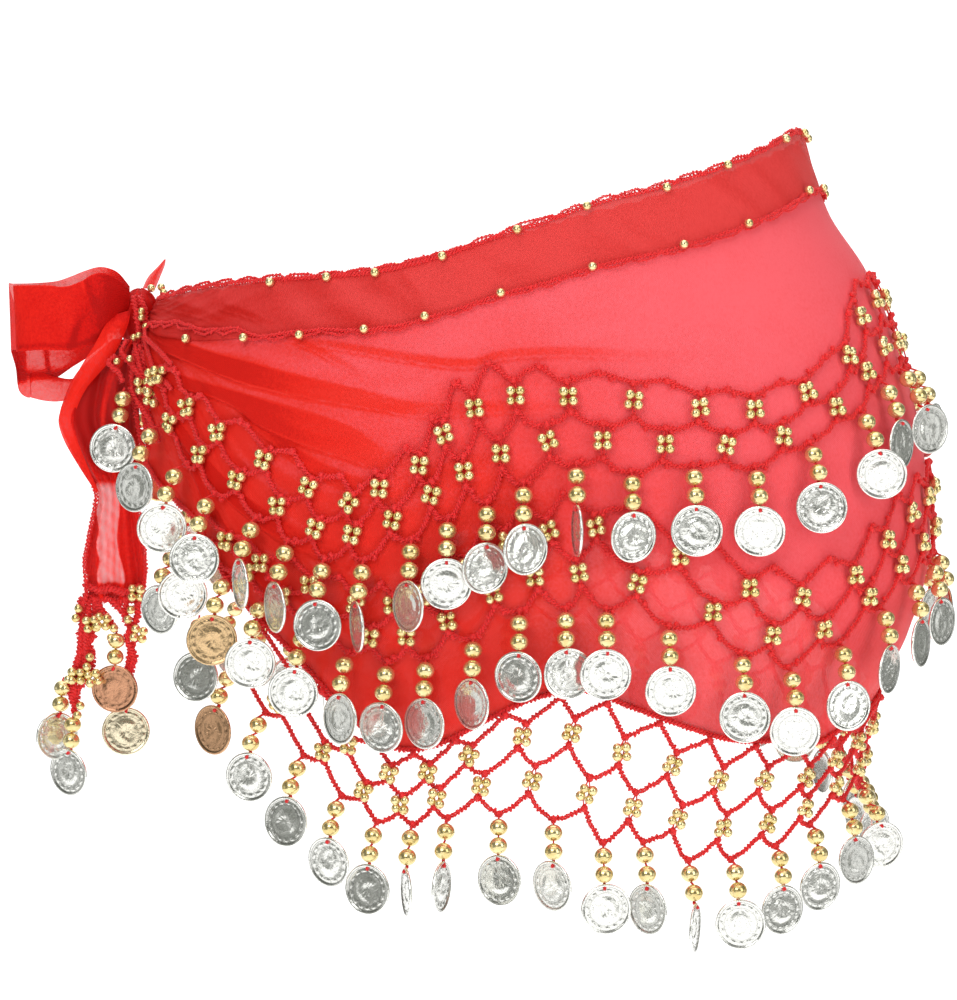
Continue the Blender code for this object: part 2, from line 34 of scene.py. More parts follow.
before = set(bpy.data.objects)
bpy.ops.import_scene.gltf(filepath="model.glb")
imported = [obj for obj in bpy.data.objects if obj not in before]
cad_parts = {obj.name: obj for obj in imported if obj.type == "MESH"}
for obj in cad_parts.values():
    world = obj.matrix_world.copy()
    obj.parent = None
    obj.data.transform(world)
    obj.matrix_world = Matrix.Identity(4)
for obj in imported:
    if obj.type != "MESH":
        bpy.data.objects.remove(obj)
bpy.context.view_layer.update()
scene = bpy.context.scene

# Camera: the photograph's viewing angle, a little above the scarf
CAMERA_PLACE = (-0.0206, -1.25, 0.012)
CAMERA_AIM = (-0.0206, 0.0, -0.1132)

camera_data = bpy.data.cameras.new("camera")
camera_data.lens = 113.0
camera_data.sensor_width = 36.0
camera_data.clip_end = 50.0
camera = bpy.data.objects.new("camera", camera_data)
scene.collection.objects.link(camera)
camera.location = CAMERA_PLACE
camera.rotation_euler = (Vector(CAMERA_AIM) - Vector(CAMERA_PLACE)).to_track_quat("-Z", "Y").to_euler()
scene.camera = camera

# The same sizes as the solids

ROUNDNESS = 2.3
FRONT_START = 190.8
SIDE_ANGLE = 292
BACK_END = 540.4
BEAD_RADIUS = 3.45
BEAD_FLAT = 0.92
SMALL_BEAD_RADIUS = 1.88
COIN_RADIUS = 9.5

FORM = (
    (-320, 6, 120, 4, 102), (-260, 6, 122, 4, 104), (-220, 5, 127, 5, 107), (-190, 4.5, 134.5, 7, 111),
    (-165, 5, 148, 9, 115), (-140, 5, 158, 10, 118), (-110, 3, 160, 10, 117), (-80, 1, 157, 8, 113),
    (-60, -1.5, 153.5, 6, 109), (-40, -3, 148, 5, 103), (-20, -3, 137, 3, 97), (0, -2, 121, 2, 91),
    (20, -4, 114, 0, 86), (45, -6, 110, 0, 82),
)
TOP_EDGE = (
    (180, -33), (195, -32), (212, -27), (226, -24), (248, -20.5), (258, -15), (268, -5.5), (278, 4),
    (293, 11.5), (305, 17.5), (320, 24.5), (337, 31.5), (350, 31.5), (365, 28.5), (380, 24.5),
    (400, 17.5), (415, 10.5), (427, 4.5), (442, -3.5), (452, -11.5), (462, -18.5), (472, -24),
    (494, -30), (508, -33), (525, -36), (540, -36),
)
BAND = ((180, 9), (192, 10), (206, 17), (222, 21), (360, 21), (500, 21), (520, 16), (540, 9))
HEM = (
    (180, -50), (192, -53), (206, -68), (217, -92), (226, -136), (232, -161), (238, -179), (245, -192),
    (253, -193), (263, -181), (270, -176), (277, -178), (284, -184), (292, -190), (301, -197),
    (312, -201), (324, -199), (336, -196), (350, -191), (363, -188), (377, -180), (394, -166),
    (410, -158), (422, -153), (434, -147), (450, -138), (466, -142), (480, -150), (490, -149),
    (500, -138), (510, -120), (520, -92), (530, -64), (540, -52),
)
FOLDS = (
    (180, 0.8), (194, 1.3), (208, 2.6), (224, 3.2), (240, 2.8), (255, 1.6), (272, 0.5), (290, 0.0),
    (430, 0.0), (450, 0.5), (468, 1.6), (484, 2.8), (500, 3.2), (516, 2.6), (532, 1.2), (540, 0.8),
)
FOLD_WAVES = 3.5
FADE_BELOW_HEM = 25.0
# The side away from the knot hangs closer in than the solids: how much, at what angle, and how far round
TUCK, TUCK_ANGLE, TUCK_REACH = 3.6, 350, 22
UPPER_BAND = (
    (0, 208, -52, -79, -1), (1, 216.5, -62, -93, 0), (2, 224, -70, -103, 0), (3, 232, -80, -111, 2),
    (4, 237.5, -90, -119, 5), (5, 243, -95, -125, 6), (6, 248.8, -87, -125, 4), (7, 255.5, -78, -117, 2),
    (8, 260.2, -65, -109, 0), (9, 264.8, -54, -103, -1), (10, 268.6, -51, -96, 0),
    (11, 273.3, -55, -89, 0), (12, 279.5, -56, -92, 2), (13, 287.5, -61, -90, 3),
    (14, 296.5, -62, -91, 2), (15, 306.5, -57, -83, 2), (16, 319, -44, -72, 1), (17, 328, -28, -62, 0),
    (18, 339, -22, -58, 0), (20, 363, -24, -62, 0), (22, 384, -38, -72, 0), (24, 405, -48, -78, 0),
    (26, 425, -46, -78, 0), (28, 443, -40, -76, 0), (30, 459, -46, -80, 0), (32, 475, -58, -90, 0),
    (34, 489, -66, -98, 0), (36, 504, -60, -94, 0), (37, 514, -56, -88, 0), (38, 526, -54, -80, 0),
)
MIDDLE_BAND = (
    (0, 213, -106, -125, 0), (1, 226, -115, -133, 0), (2, 231.5, -122, -141, 1), (3, 238, -128, -151, 3),
    (4, 244, -134, -160, 4), (5, 250, -132, -163, 3), (6, 255.7, -127, -161, 1),
    (7, 262.1, -116, -153, 0), (8, 267.4, -106, -143, -1), (9, 271.4, -101, -142, -1.5),
    (10, 275.6, -99, -142, -1), (11, 283.4, -112, -149, 2), (12, 294.8, -125, -160, -0.5),
    (13, 304.3, -128, -167, -1.5), (14, 313.5, -122, -159, 0), (15, 321.5, -110, -147, 0),
    (16, 330.5, -101, -139, 0), (17, 341, -97, -134, 0), (18, 352.5, -95, -133, 0),
    (20, 373, -105, -140, 0), (22, 393, -104, -136, 0), (24, 412, -104, -136, 0),
    (26, 430, -98, -131, 0), (28, 447, -88, -122, 0), (30, 463, -90, -123, 0), (32, 478, -103, -133, 0),
    (33, 486, -106, -136, 0), (34, 493, -104, -133, 0), (35, 500, -99, -128, 0), (36, 508, -94, -118, 0),
)
HEM_BAND = (
    (0, 218.5, -128, -170, 1), (1, 222, -142, -187, 3), (2, 229.3, -162, -202, 4),
    (3, 236.5, -187, -216, 5), (4, 243.3, -197, -225, 5), (5, 250, -195.5, -225, 5),
    (6, 256, -187, -222, 6), (7, 264, -177, -220, 5), (8, 270.5, -174, -222, 3),
    (9, 277, -181, -231, 3.5), (10, 283.4, -189, -231, 6), (11, 291.3, -195, -239, 7),
    (12, 300.2, -197, -240, 8), (13, 310.5, -200, -237, 9), (14, 320.3, -196, -231, 8),
    (15, 333.5, -193, -225, 4), (16, 346, -190, -224, 1), (18, 363, -190, -226, 0),
    (20, 379, -184, -221, 0), (22, 399, -166, -203, 0), (24, 418, -157, -195, 0),
    (26, 433.5, -149, -187, 0), (28, 447, -140, -180, 0), (30, 460, -140, -181, 0),
    (32, 473.5, -147, -186, 0), (34, 487, -151, -184, 0), (35, 493.5, -146, -178, 0),
    (36, 500, -140, -172, 0), (37, 506, -130, -164, 0),
)
LINE_LEVELS = {"coins": (0.0, 0.18), "middle": (0.41, 0.59), "top": (0.82, 1.0)}
UPPER_TURNS = (
    (-20, -55, -30, 37, 42, 0, 59, 45, -8, -33, -28, 78, -18, 14, 24, 34, 46, -6, 32, 12)
    + (10, -15, 20, -8, 60, 5, -20, 15, 70, -10, 8, -25, 62, 12, -5, 30, -15, 20, 40)
)
MIDDLE_TURNS = (
    (-12, -35, -38, -12, 29, 18, 31, 45, 22, -12, -8, 8, 20, 30, 12, -15, -8, 20, -15)
    + (5, 55, 10, -20, 15, -62, 8, 25, -10, 60, 0, -18, 14, -50, 22, 10, -12, 40)
)
HEM_TURNS = (
    (-8, -21, -5, 6, 11, 60, -78, 29, 44, -4, 56, -62, 30, 0, 20, 20, 62, 5, 50)
    + (-15, 58, 8, -48, 12, 66, -20, 45, 70, 0, -52, 15, 60, -10, 48, -65, 10, 35, -12)
)
LIFT = (
    (180, 4.2), (238, 4.2), (262, 0.0), (266, 0.0), (268.6, 3.0), (271.8, 0.0), (275.6, 3.0), (279, 0.0),
    (455, 0.0), (476, 4.2), (540, 4.2),
)
BEADS = ((4.3, 4.4), (10.7, 6.3))
COIN_DROP = 14.0
COIN_STANDS_OFF = 6.6
# How far below the chain the middles of a strand's two beads and its coin hang
DROPS = (4.3, 10.7, 23.5)
KNOT_CENTRE = (-154.3, -8.2, -41)
KNOT_HALF = (8.6, 11.0, 12.5)
TIP = ((-151, -7, -28.5, 2.6), (-149, -6, -24, 2.4), (-146, -5, -19.5, 1.2), (-144.6, -5, -17, 0.3))
TIP_BEADS = ((-149.5, -11.5, -28.2), (-145.6, -11, -27.8), (-144.6, -12, -30))

# Creases of the front. Columns: angle, height of the edge, how far the doubled cloth reaches
# above it, how far it stands out, how much it deepens the colour: the doubled cloth and a painted shadow below
# the edge
CREASES = (
    ((190, -45.5, 3, 0.6, 0.3), (196, -48.6, 4, 0.9, 0.4), (204, -50.9, 5, 1.1, 0.45),
     (212, -53.1, 6, 1.3, 0.5), (223, -58, 6.5, 1.4, 0.55), (231.8, -62.6, 8, 1.4, 0.5),
     (241, -66.1, 7, 1.2, 0.4), (251.3, -70, 6, 0.9, 0.25), (257.3, -72.4, 5, 0.5, 0.15),
     (266.8, -70.8, 4, 0.3, 0.1), (276, -71, 3, 0.0, 0.0)),
    ((192, -50, 2, 0.4, 0.2), (206, -62.5, 4, 0.9, 0.4), (216, -65, 4, 1.1, 0.45),
     (226.3, -69.4, 5, 1.3, 0.5), (231.4, -75.7, 9, 1.4, 0.5), (238.5, -82.4, 12, 1.2, 0.35),
     (247.2, -88.6, 12, 0.8, 0.25), (252, -92.5, 8, 0.4, 0.1), (260, -97, 6, 0.0, 0.0)),
    ((228, -74, 3, 0.0, 0.0), (235, -84.3, 4, 0.8, 0.3), (239.2, -91, 5, 1.0, 0.35),
     (243.2, -95.8, 5, 0.8, 0.3), (248.1, -100.3, 5, 0.5, 0.15), (256, -106, 4, 0.0, 0.0)),
    ((238, -46, 2, 0.0, 0.0), (245.9, -48.3, 2.5, 0.6, 0.2), (256, -52.4, 3, 0.8, 0.25),
     (263.9, -54.5, 3, 0.7, 0.25), (267.4, -51.6, 3, 0.6, 0.2), (273, -50.1, 3, 0.5, 0.2),
     (282, -51.5, 3, 0.3, 0.1), (294, -52, 3, 0.0, 0.0)),
    ((234, -44.5, 1.5, 0.0, 0.0), (239.2, -46.8, 2, 0.4, 0.15), (246.8, -54.9, 2.5, 0.4, 0.15),
     (251, -61, 2, 0.0, 0.0)),
    ((190, -47, 2, 0.5, 0.3), (204, -66, 4, 1.2, 0.4), (214, -84, 5, 1.4, 0.45),
     (226, -106, 7, 1.3, 0.4), (238, -122, 8, 0.9, 0.25), (252, -131, 6, 0.0, 0.0)),
    ((192, -49, 2, 0.4, 0.3), (208, -74, 4, 1.2, 0.4), (218, -100, 5, 1.4, 0.4),
     (228, -130, 7, 1.2, 0.35), (240, -150, 7, 0.7, 0.2), (254, -160, 6, 0.0, 0.0)),
    ((186, -40, 2, 0.6, 0.2), (197.3, -35.6, 3, 0.7, 0.3), (208, -36.1, 3, 0.7, 0.3),
     (215.6, -37.4, 2.5, 0.6, 0.25), (224.8, -41.2, 2, 0.0, 0.0)),
    ((219, -33.5, 2, 0.0, 0.0), (223.6, -35.1, 2, 0.5, 0.25), (228.5, -37.3, 2, 0.5, 0.25),
     (233.9, -41.7, 2, 0.0, 0.0)),
    ((252, -19, 2, 0.0, 0.0), (254.1, -23, 2, 0.5, 0.2), (255.6, -26.2, 2, 0.5, 0.2),
     (258, -31, 2, 0.0, 0.0)),
)
# How much the cloth is gathered, and so how deep its colour is. Columns: angle, then the share at the seam,
# half way and at the hem
GATHER = (
    (180, 0.9, 0.9, 0.9), (200, 0.5, 0.7, 0.7), (214, 0.36, 0.62, 0.62), (228, 0.3, 0.52, 0.6),
    (242, 0.22, 0.52, 0.58), (256, 0.13, 0.5, 0.54), (268, 0.05, 0.42, 0.48), (280, 0.03, 0.2, 0.28),
    (292, 0.0, 0.13, 0.22), (310, 0.0, 0.08, 0.26), (340, 0.0, 0.08, 0.26), (410, 0.0, 0.05, 0.12),
    (440, 0.0, 0.2, 0.28), (452, 0.05, 0.4, 0.45), (464, 0.1, 0.5, 0.55), (478, 0.2, 0.56, 0.6),
    (492, 0.3, 0.58, 0.6), (506, 0.36, 0.62, 0.62), (520, 0.5, 0.7, 0.7), (540, 0.9, 0.9, 0.9),
)


def clamp(x, low=0.0, high=1.0):
    return min(max(x, low), high)


def value(table, column, x):
    """A column's value at x in the table's first column, on a smooth curve through the rows."""
    last = len(table) - 1
    i = 0
    while i < last - 1 and table[i + 1][0] <= x:
        i += 1
    before, low, high, after = table[max(i - 1, 0)], table[i], table[i + 1], table[min(i + 2, last)]
    run = high[0] - low[0]
    t = clamp((x - low[0]) / run)
    start_slope = (high[column] - before[column]) / (high[0] - before[0])
    end_slope = (after[column] - low[column]) / (after[0] - low[0])
    return (
        low[column] * (1 + 2 * t) * (1 - t) ** 2
        + high[column] * t * t * (3 - 2 * t)
        + run * start_slope * t * (1 - t) ** 2
        - run * end_slope * t * t * (1 - t)
    )


def row_at(table, x):
    """Every column after the first, at x."""
    return [value(table, column, x) for column in range(1, len(table[0]))]


def straight(table, column, x):
    """A column's value at x, on straight lines between the rows."""
    for low, high in zip(table, table[1:]):
        if x <= high[0]:
            t = max((x - low[0]) / (high[0] - low[0]), 0.0)
            return low[column] + t * (high[column] - low[column])
    return table[-1][column]


@lru_cache(maxsize=200000)
def form_at(height):
    """The form's middle and half sizes at a height."""
    return row_at(FORM, height)


def hips(angle, height, out=0.0):
    """A point on the hip form, moved out by that much."""
    centre_x, half_width, centre_y, half_depth = form_at(round(height, 2))
    cosine, sine = math.cos(math.radians(angle)), math.sin(math.radians(angle))
    power = 2 / ROUNDNESS
    x = centre_x + (half_width + out) * math.copysign(abs(cosine) ** power, cosine)
    y = centre_y + (half_depth + out) * math.copysign(abs(sine) ** power, sine)
    return Vector((x, y, height))


@lru_cache(maxsize=100000)
def top_edge(angle):
    return value(TOP_EDGE, 1, angle)


@lru_cache(maxsize=100000)
def seam(angle):
    return top_edge(angle) - value(BAND, 1, angle)


@lru_cache(maxsize=100000)
def hem(angle):
    return value(HEM, 1, angle)


def directions(angle, height):
    """Across to the right as seen from outside, up, and out."""
    across = (hips(angle + 0.5, height) - hips(angle - 0.5, height)).normalized()
    up = (hips(angle, height + 1) - hips(angle, height - 1)).normalized()
    return across, up, across.cross(up).normalized()


def solid_fold(angle, height):
    """The folds as the solids have them: the coins hang clear of these."""
    share = (seam(angle) - height) / (seam(angle) - hem(angle))
    fade = 1.0 - clamp((hem(angle) - height) / FADE_BELOW_HEM)
    wave = 0.5 - 0.5 * math.cos(2 * math.pi * FOLD_WAVES * clamp(share))
    return straight(FOLDS, 1, angle) * wave * fade


def tuck(angle, height):
    """The side away from the knot hangs a little closer in than the solids."""
    beside = math.exp(-(((angle - TUCK_ANGLE) / TUCK_REACH) ** 2))
    return TUCK * beside * min(max((height + 178) / 35, 0.0), max((5 - height) / 50, 0.0), 1.0)


def front_angle(angle):
    """The back folds mirror the front's."""
    return angle if angle <= 360 else 720 - angle


@lru_cache(maxsize=100000)
def creases_at(angle):
    """Edge height, reach, stand-out and deepening of each crease that crosses this angle."""
    at = front_angle(angle)
    return [row_at(crease, at) for crease in CREASES if crease[0][0] <= at <= crease[-1][0]]


def fold(angle, height):
    """How far the creases push the cloth out here, and how much they deepen its colour: doubled cloth above
    each edge, a painted shadow below it and a painted highlight on its rim.
    """
    angle = round(angle, 2)
    out, deeper = 0.0, 0.0
    for edge, reach, stands, more in creases_at(angle):
        if stands <= 0.01:
            continue
        above = height - edge
        if above >= 0:
            out += stands * math.exp(-((above / (1.7 * reach)) ** 2))
            if above < reach + 1:
                # Right at the rim the colour stays light: a painted highlight along the crease.
                rim = 0.1 + 0.9 * min(above / 0.9, 1.0)
                deeper += more * rim * min(reach + 1 - above, 1.0)
        else:
            out += stands * math.exp(-((above / 0.8) ** 2))
            # Below the edge: a painted shadow under the overlapping fold.
            deeper += more * 1.3 * max(1 + above / 1.8, 0.0) * min(-above / 0.4, 1.0)
    fade = 1.0 - clamp((hem(angle) - height) / FADE_BELOW_HEM)
    share = (seam(angle) - height) / (seam(angle) - hem(angle))
    near = clamp((SIDE_ANGLE - front_angle(angle)) / 70, 0.08)
    streak = noise.noise(Vector((angle * 0.05, share * 11, 3.0)))
    fine = noise.noise(Vector((angle * 0.09, share * 26 - angle * 0.03, 9.0)))
    soft = noise.noise(Vector((angle * 0.06, height * 0.08, 5.0)))
    out += 0.3 + 0.35 * soft + near * (0.6 * streak + 0.3 * fine)
    deeper += near * 0.16 * (streak - fine)
    if height > seam(angle):
        wrinkle = noise.noise(Vector((angle * 0.16 + height * 0.11, height * 0.03, 21.0)))
        out += 0.45 * wrinkle
        deeper += 0.22 * wrinkle
    return out * fade - tuck(angle, height), deeper


def skin(angle, height, out=0.0):
    """A point on the visible cloth, moved out by that much."""
    return hips(angle, height, out + fold(angle, height)[0])


# Mesh building


class Pile:
    """Points and faces that become one mesh, in millimetres until then."""

    def __init__(self):
        self.points = []
        self.faces = []
        self.uv = []
        self.shades = []

    def add(self, points, faces, uv=None, shades=None):
        start = len(self.points)
        self.points.extend(points)
        self.faces.extend(tuple(n + start for n in face) for face in faces)
        self.uv.extend(uv if uv else [(0.0, 0.0)] * len(points))
        self.shades.extend(shades if shades else [0.0] * len(points))

    def make(self, name, finish, slot, replaces=()):
        mesh = bpy.data.meshes.new(name)
        mesh.from_pydata([tuple(c * METRES for c in point) for point in self.points], [], self.faces)
        layer = mesh.uv_layers.new(name="flat")
        corners = [0] * len(mesh.loops)
        mesh.loops.foreach_get("vertex_index", corners)
        flat = [c for corner in corners for c in self.uv[corner]]
        layer.data.foreach_set("uv", flat)
        # Depth of colour at each point: gathered cloth with painted shade and highlights, or a coin's metal.
        shade = mesh.attributes.new("depth_shade_or_metal", "FLOAT", "POINT")
        shade.data.foreach_set("value", self.shades)
        mesh.materials.append(finish)
        mesh.shade_smooth()
        mesh.update()
        made = bpy.data.objects.new(name, mesh)
        scene.collection.objects.link(made)
        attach(made, "root")
        if replaces:
            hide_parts(*replaces)
        return made


def grid_faces(rows, columns):
    """Faces between points laid row by row."""
    return [
        (r * columns + c, (r + 1) * columns + c, (r + 1) * columns + c + 1, r * columns + c + 1)
        for r in range(rows - 1)
        for c in range(columns - 1)
    ]


def ball(segments, rings):
    """A unit ball's points and faces."""
    points = [Vector((0, 0, 1))]
    for r in range(1, rings):
        tilt = math.pi * r / rings
        for s in range(segments):
            turn = 2 * math.pi * s / segments
            x, y = math.sin(tilt) * math.cos(turn), math.sin(tilt) * math.sin(turn)
            points.append(Vector((x, y, math.cos(tilt))))
    points.append(Vector((0, 0, -1)))
    faces = [(0, 1 + s, 1 + (s + 1) % segments) for s in range(segments)]
    for r in range(rings - 2):
        a = 1 + r * segments
        b = a + segments
        for s in range(segments):
            t = (s + 1) % segments
            faces.append((a + s, b + s, b + t, a + t))
    low = 1 + (rings - 2) * segments
    end = len(points) - 1
    faces += [(low + s, end, low + (s + 1) % segments) for s in range(segments)]
    return points, faces


BIG_BALL = ball(16, 9)
SMALL_BALL = ball(10, 6)


def add_ball(pile, template, centre, radius, flat=1.0):
    """A ball of that shape and size."""
    points, faces = template
    size = Vector((radius, radius, radius * flat))
    pile.add([centre + point * size for point in points], faces)


def resample(points, step):
    """Points at equal steps along a line, with the line's own points between."""
    lengths = [0.0]
    for a, b in zip(points, points[1:]):
        lengths.append(lengths[-1] + (b - a).length)
    count = max(int(lengths[-1] / step), 2)
    found, i = [], 0
    for n in range(count + 1):
        target = lengths[-1] * n / count
        while i < len(lengths) - 2 and lengths[i + 1] < target:
            i += 1
        run = lengths[i + 1] - lengths[i]
        t = (target - lengths[i]) / run if run > 0 else 0.0
        found.append((i + t, points[i].lerp(points[i + 1], t)))
    return found


def add_tube(pile, centres, radii, outs, sides=4):
    """A tube through centres, with flat ends."""
    points, faces = [], []
    last = len(centres) - 1
    for n, centre in enumerate(centres):
        along = (centres[min(n + 1, last)] - centres[max(n - 1, 0)]).normalized()
        out = (outs[n] - along * outs[n].dot(along)).normalized()
        side = along.cross(out)
        for s in range(sides):
            turn = 2 * math.pi * (s + 0.5) / sides
            points.append(centre + (side * math.cos(turn) + out * math.sin(turn)) * radii[n])
    for n in range(last):
        a, b = n * sides, (n + 1) * sides
        for s in range(sides):
            t = (s + 1) % sides
            faces.append((a + s, a + t, b + t, b + s))
    faces.append(tuple(range(sides - 1, -1, -1)))
    faces.append(tuple(last * sides + s for s in range(sides)))
    pile.add(points, faces)


def add_chain(pile, points, outs, thick=1.0, step=0.8, pitch=2.9, fuzz=1):
    """A crocheted chain: two plump strands that twist over each other, with stray fibres."""
    spots = resample(points, step)
    last = len(spots) - 1
    strands = ([], []), ([], []), ([], [])
    for n, (where, place) in enumerate(spots):
        i = min(int(where), len(outs) - 1)
        j = min(i + 1, len(outs) - 1)
        out = outs[i].lerp(outs[j], where - int(where)).normalized()
        along = (spots[min(n + 1, last)][1] - spots[max(n - 1, 0)][1]).normalized()
        side = along.cross(out)
        for strand in (0, 1):
            turn = 2 * math.pi * n * step / pitch + strand * math.pi
            reach = 0.58 * thick * (1 + jitter(n * 0.37 + strand, 0.25))
            spot = place + side * (reach * math.cos(turn)) + out * (0.4 * thick * math.sin(turn))
            strands[0][strand].append(spot)
            strands[1][strand].append(thick * (0.46 + 0.14 * math.cos(2 * turn)))
            strands[2][strand].append(out)
        for k in range(fuzz):
            lean = jitter(n * 0.71 + k * 0.33, 2.6)
            sign = 1 if (n + k) % 2 else -1
            way = (side * (sign * math.cos(lean)) + along * math.sin(lean) + out * 0.4).normalized()
            base = place + way * (0.7 * thick)
            tip = base + way * (thick * (0.75 + jitter(n * 0.19 + k, 0.35)))
            pile.add([base - along * 0.16, base + along * 0.16, tip], [(0, 1, 2)])
    for strand in (0, 1):
        add_tube(pile, strands[0][strand], strands[1][strand], strands[2][strand])


def jitter(n, size):
    """A steady wander between minus and plus size, the same every run."""
    return size * math.sin(n * 12.9898 + 4.1) * math.cos(n * 78.233 + 1.7)


# Materials


def new_material(name):
    """A material, its node tree and its shader."""
    made = bpy.data.materials.new(name)
    made.use_nodes = True
    return made, made.node_tree, made.node_tree.nodes["Principled BSDF"]


def feed(tree, node, inputs):
    """Fill a node's inputs: another node's output is linked, a number or colour is set."""
    for key, given in inputs.items():
        if isinstance(given, bpy.types.NodeSocket):
            tree.links.new(given, node.inputs[key])
        else:
            node.inputs[key].default_value = given


def add_node(tree, kind, inputs=None, **settings):
    """A new node with its settings and inputs."""
    node = tree.nodes.new(kind)
    for key, setting in settings.items():
        setattr(node, key, setting)
    feed(tree, node, inputs or {})
    return node


def arithmetic(tree, operation, *inputs, **settings):
    """The outcome of a sum on numbers."""
    inputs = dict(enumerate(inputs))
    return add_node(tree, "ShaderNodeMath", inputs, operation=operation, **settings).outputs[0]


def vector_sum(tree, operation, *inputs):
    """The outputs of a sum on directions."""
    inputs = dict(enumerate(inputs))
    return add_node(tree, "ShaderNodeVectorMath", inputs, operation=operation).outputs


def cloud_of(tree, place, scale, detail=2.0, distortion=0.0):
    """A noise pattern's height."""
    inputs = {"Vector": place, "Scale": scale, "Detail": detail, "Distortion": distortion}
    return add_node(tree, "ShaderNodeTexNoise", inputs).outputs["Fac"]


def ramp_of(tree, given, stops):
    """The colour at a number. Each stop: position, and a linear colour or one number for a grey, in order."""
    node = add_node(tree, "ShaderNodeValToRGB", {"Fac": given})
    elements = node.color_ramp.elements
    full = [(at, (*(shade if isinstance(shade, tuple) else (shade,) * 3), 1.0)) for at, shade in stops]
    for element, (at, colour) in zip(elements[:2], (full[0], full[-1])):
        element.position = at
        element.color = colour
    for at, colour in full[1:-1]:
        elements.new(at).color = colour
    return node.outputs["Color"]


def mix_colours(tree, blend, share, one, two):
    """Two colours mixed by that share."""
    node = add_node(tree, "ShaderNodeMix", data_type="RGBA", blend_type=blend)
    first, second = (n for n, socket in enumerate(node.inputs) if socket.type == "RGBA")
    feed(tree, node, {0: share, first: one, second: two})
    return next(socket for socket in node.outputs if socket.type == "RGBA")


def add_bump(tree, shader, height, strength, distance):
    """Relief on the shader from a pattern's height."""
    inputs = {"Height": height, "Strength": strength, "Distance": distance}
    feed(tree, shader, {"Normal": add_node(tree, "ShaderNodeBump", inputs).outputs[0]})


def flat_place(tree):
    """The cloth's or coin's flat coordinates."""
    return add_node(tree, "ShaderNodeUVMap", uv_map="flat").outputs[0]


def object_place(tree):
    """A place on the piece."""
    return add_node(tree, "ShaderNodeTexCoord").outputs["Object"]


def depth_shade_or_metal_of(tree):
    """How much the mesh says that the cloth is gathered, with painted shade and painted highlights in it, or
    how gold or bronze a coin is.
    """
    return add_node(tree, "ShaderNodeAttribute", attribute_name="depth_shade_or_metal").outputs["Fac"]


def weave_height(tree, pitch_mm):
    """Threads both ways, from the cloth's flat coordinates."""
    split = add_node(tree, "ShaderNodeSeparateXYZ", {0: flat_place(tree)}).outputs
    scale = 2 * math.pi / pitch_mm * 1000
    waves = [arithmetic(tree, "SINE", arithmetic(tree, "MULTIPLY", split[axis], scale)) for axis in (0, 1)]
    return arithmetic(tree, "MULTIPLY", *waves)


def chiffon_material(name, colours, thin_alpha, deep_alpha):
    """Sheer cloth: its colour and cover deepen where the mesh says that it is gathered or carries painted
    shade, and ease where it carries a painted highlight.
    """
    made, tree, shader = new_material(name)
    place = object_place(tree)
    wander = arithmetic(tree, "MULTIPLY_ADD", cloud_of(tree, place, 30.0, 4.0), 0.2, -0.1)
    grain = arithmetic(tree, "MULTIPLY_ADD", cloud_of(tree, place, 900.0), 0.3, wander)
    depth = arithmetic(tree, "ADD", depth_shade_or_metal_of(tree), grain, use_clamp=True)
    ease = arithmetic(tree, "SUBTRACT", depth, 0.15, use_clamp=True)
    weave = weave_height(tree, 0.9)
    limits = {"Value": ease, "From Max": 0.55, "To Min": thin_alpha, "To Max": deep_alpha}
    cover = add_node(tree, "ShaderNodeMapRange", limits).outputs[0]
    add_bump(tree, shader, weave, 0.3, 0.0002)
    feed(tree, shader, {
        "Base Color": ramp_of(tree, ease, zip((0.0, 0.45, 0.72, 1.0), colours)),
        "Alpha": arithmetic(tree, "MULTIPLY_ADD", weave, 0.02, cover, use_clamp=True),
        "Roughness": 0.55,
        "Specular IOR Level": 0.1,
        "Sheen Weight": 0.05,
        "Sheen Roughness": 0.4,
        "Sheen Tint": (1.0, 0.5, 0.5, 1.0),
    })
    return made


def thread_material(name, colour, dark):
    """Crochet thread: fibres along it, and a little fuzz."""
    made, tree, shader = new_material(name)
    fibres = cloud_of(tree, object_place(tree), 1500.0, 3.0)
    add_bump(tree, shader, fibres, 0.5, 0.0003)
    feed(tree, shader, {
        "Base Color": ramp_of(tree, fibres, ((0.3, dark), (0.62, colour))),
        "Roughness": 0.6,
        "Sheen Weight": 0.2,
        "Sheen Tint": (1.0, 0.4, 0.4, 1.0),
    })
    return made


def bead_material():
    """Gold plated beads."""
    made, tree, shader = new_material("gold_beads")
    wear = cloud_of(tree, object_place(tree), 220.0)
    feed(tree, shader, {
        "Base Color": ramp_of(tree, wear, ((0.35, (0.74, 0.58, 0.24)), (0.65, (0.92, 0.78, 0.42)))),
        "Metallic": 0.78,
        "Roughness": 0.15,
    })
    return made


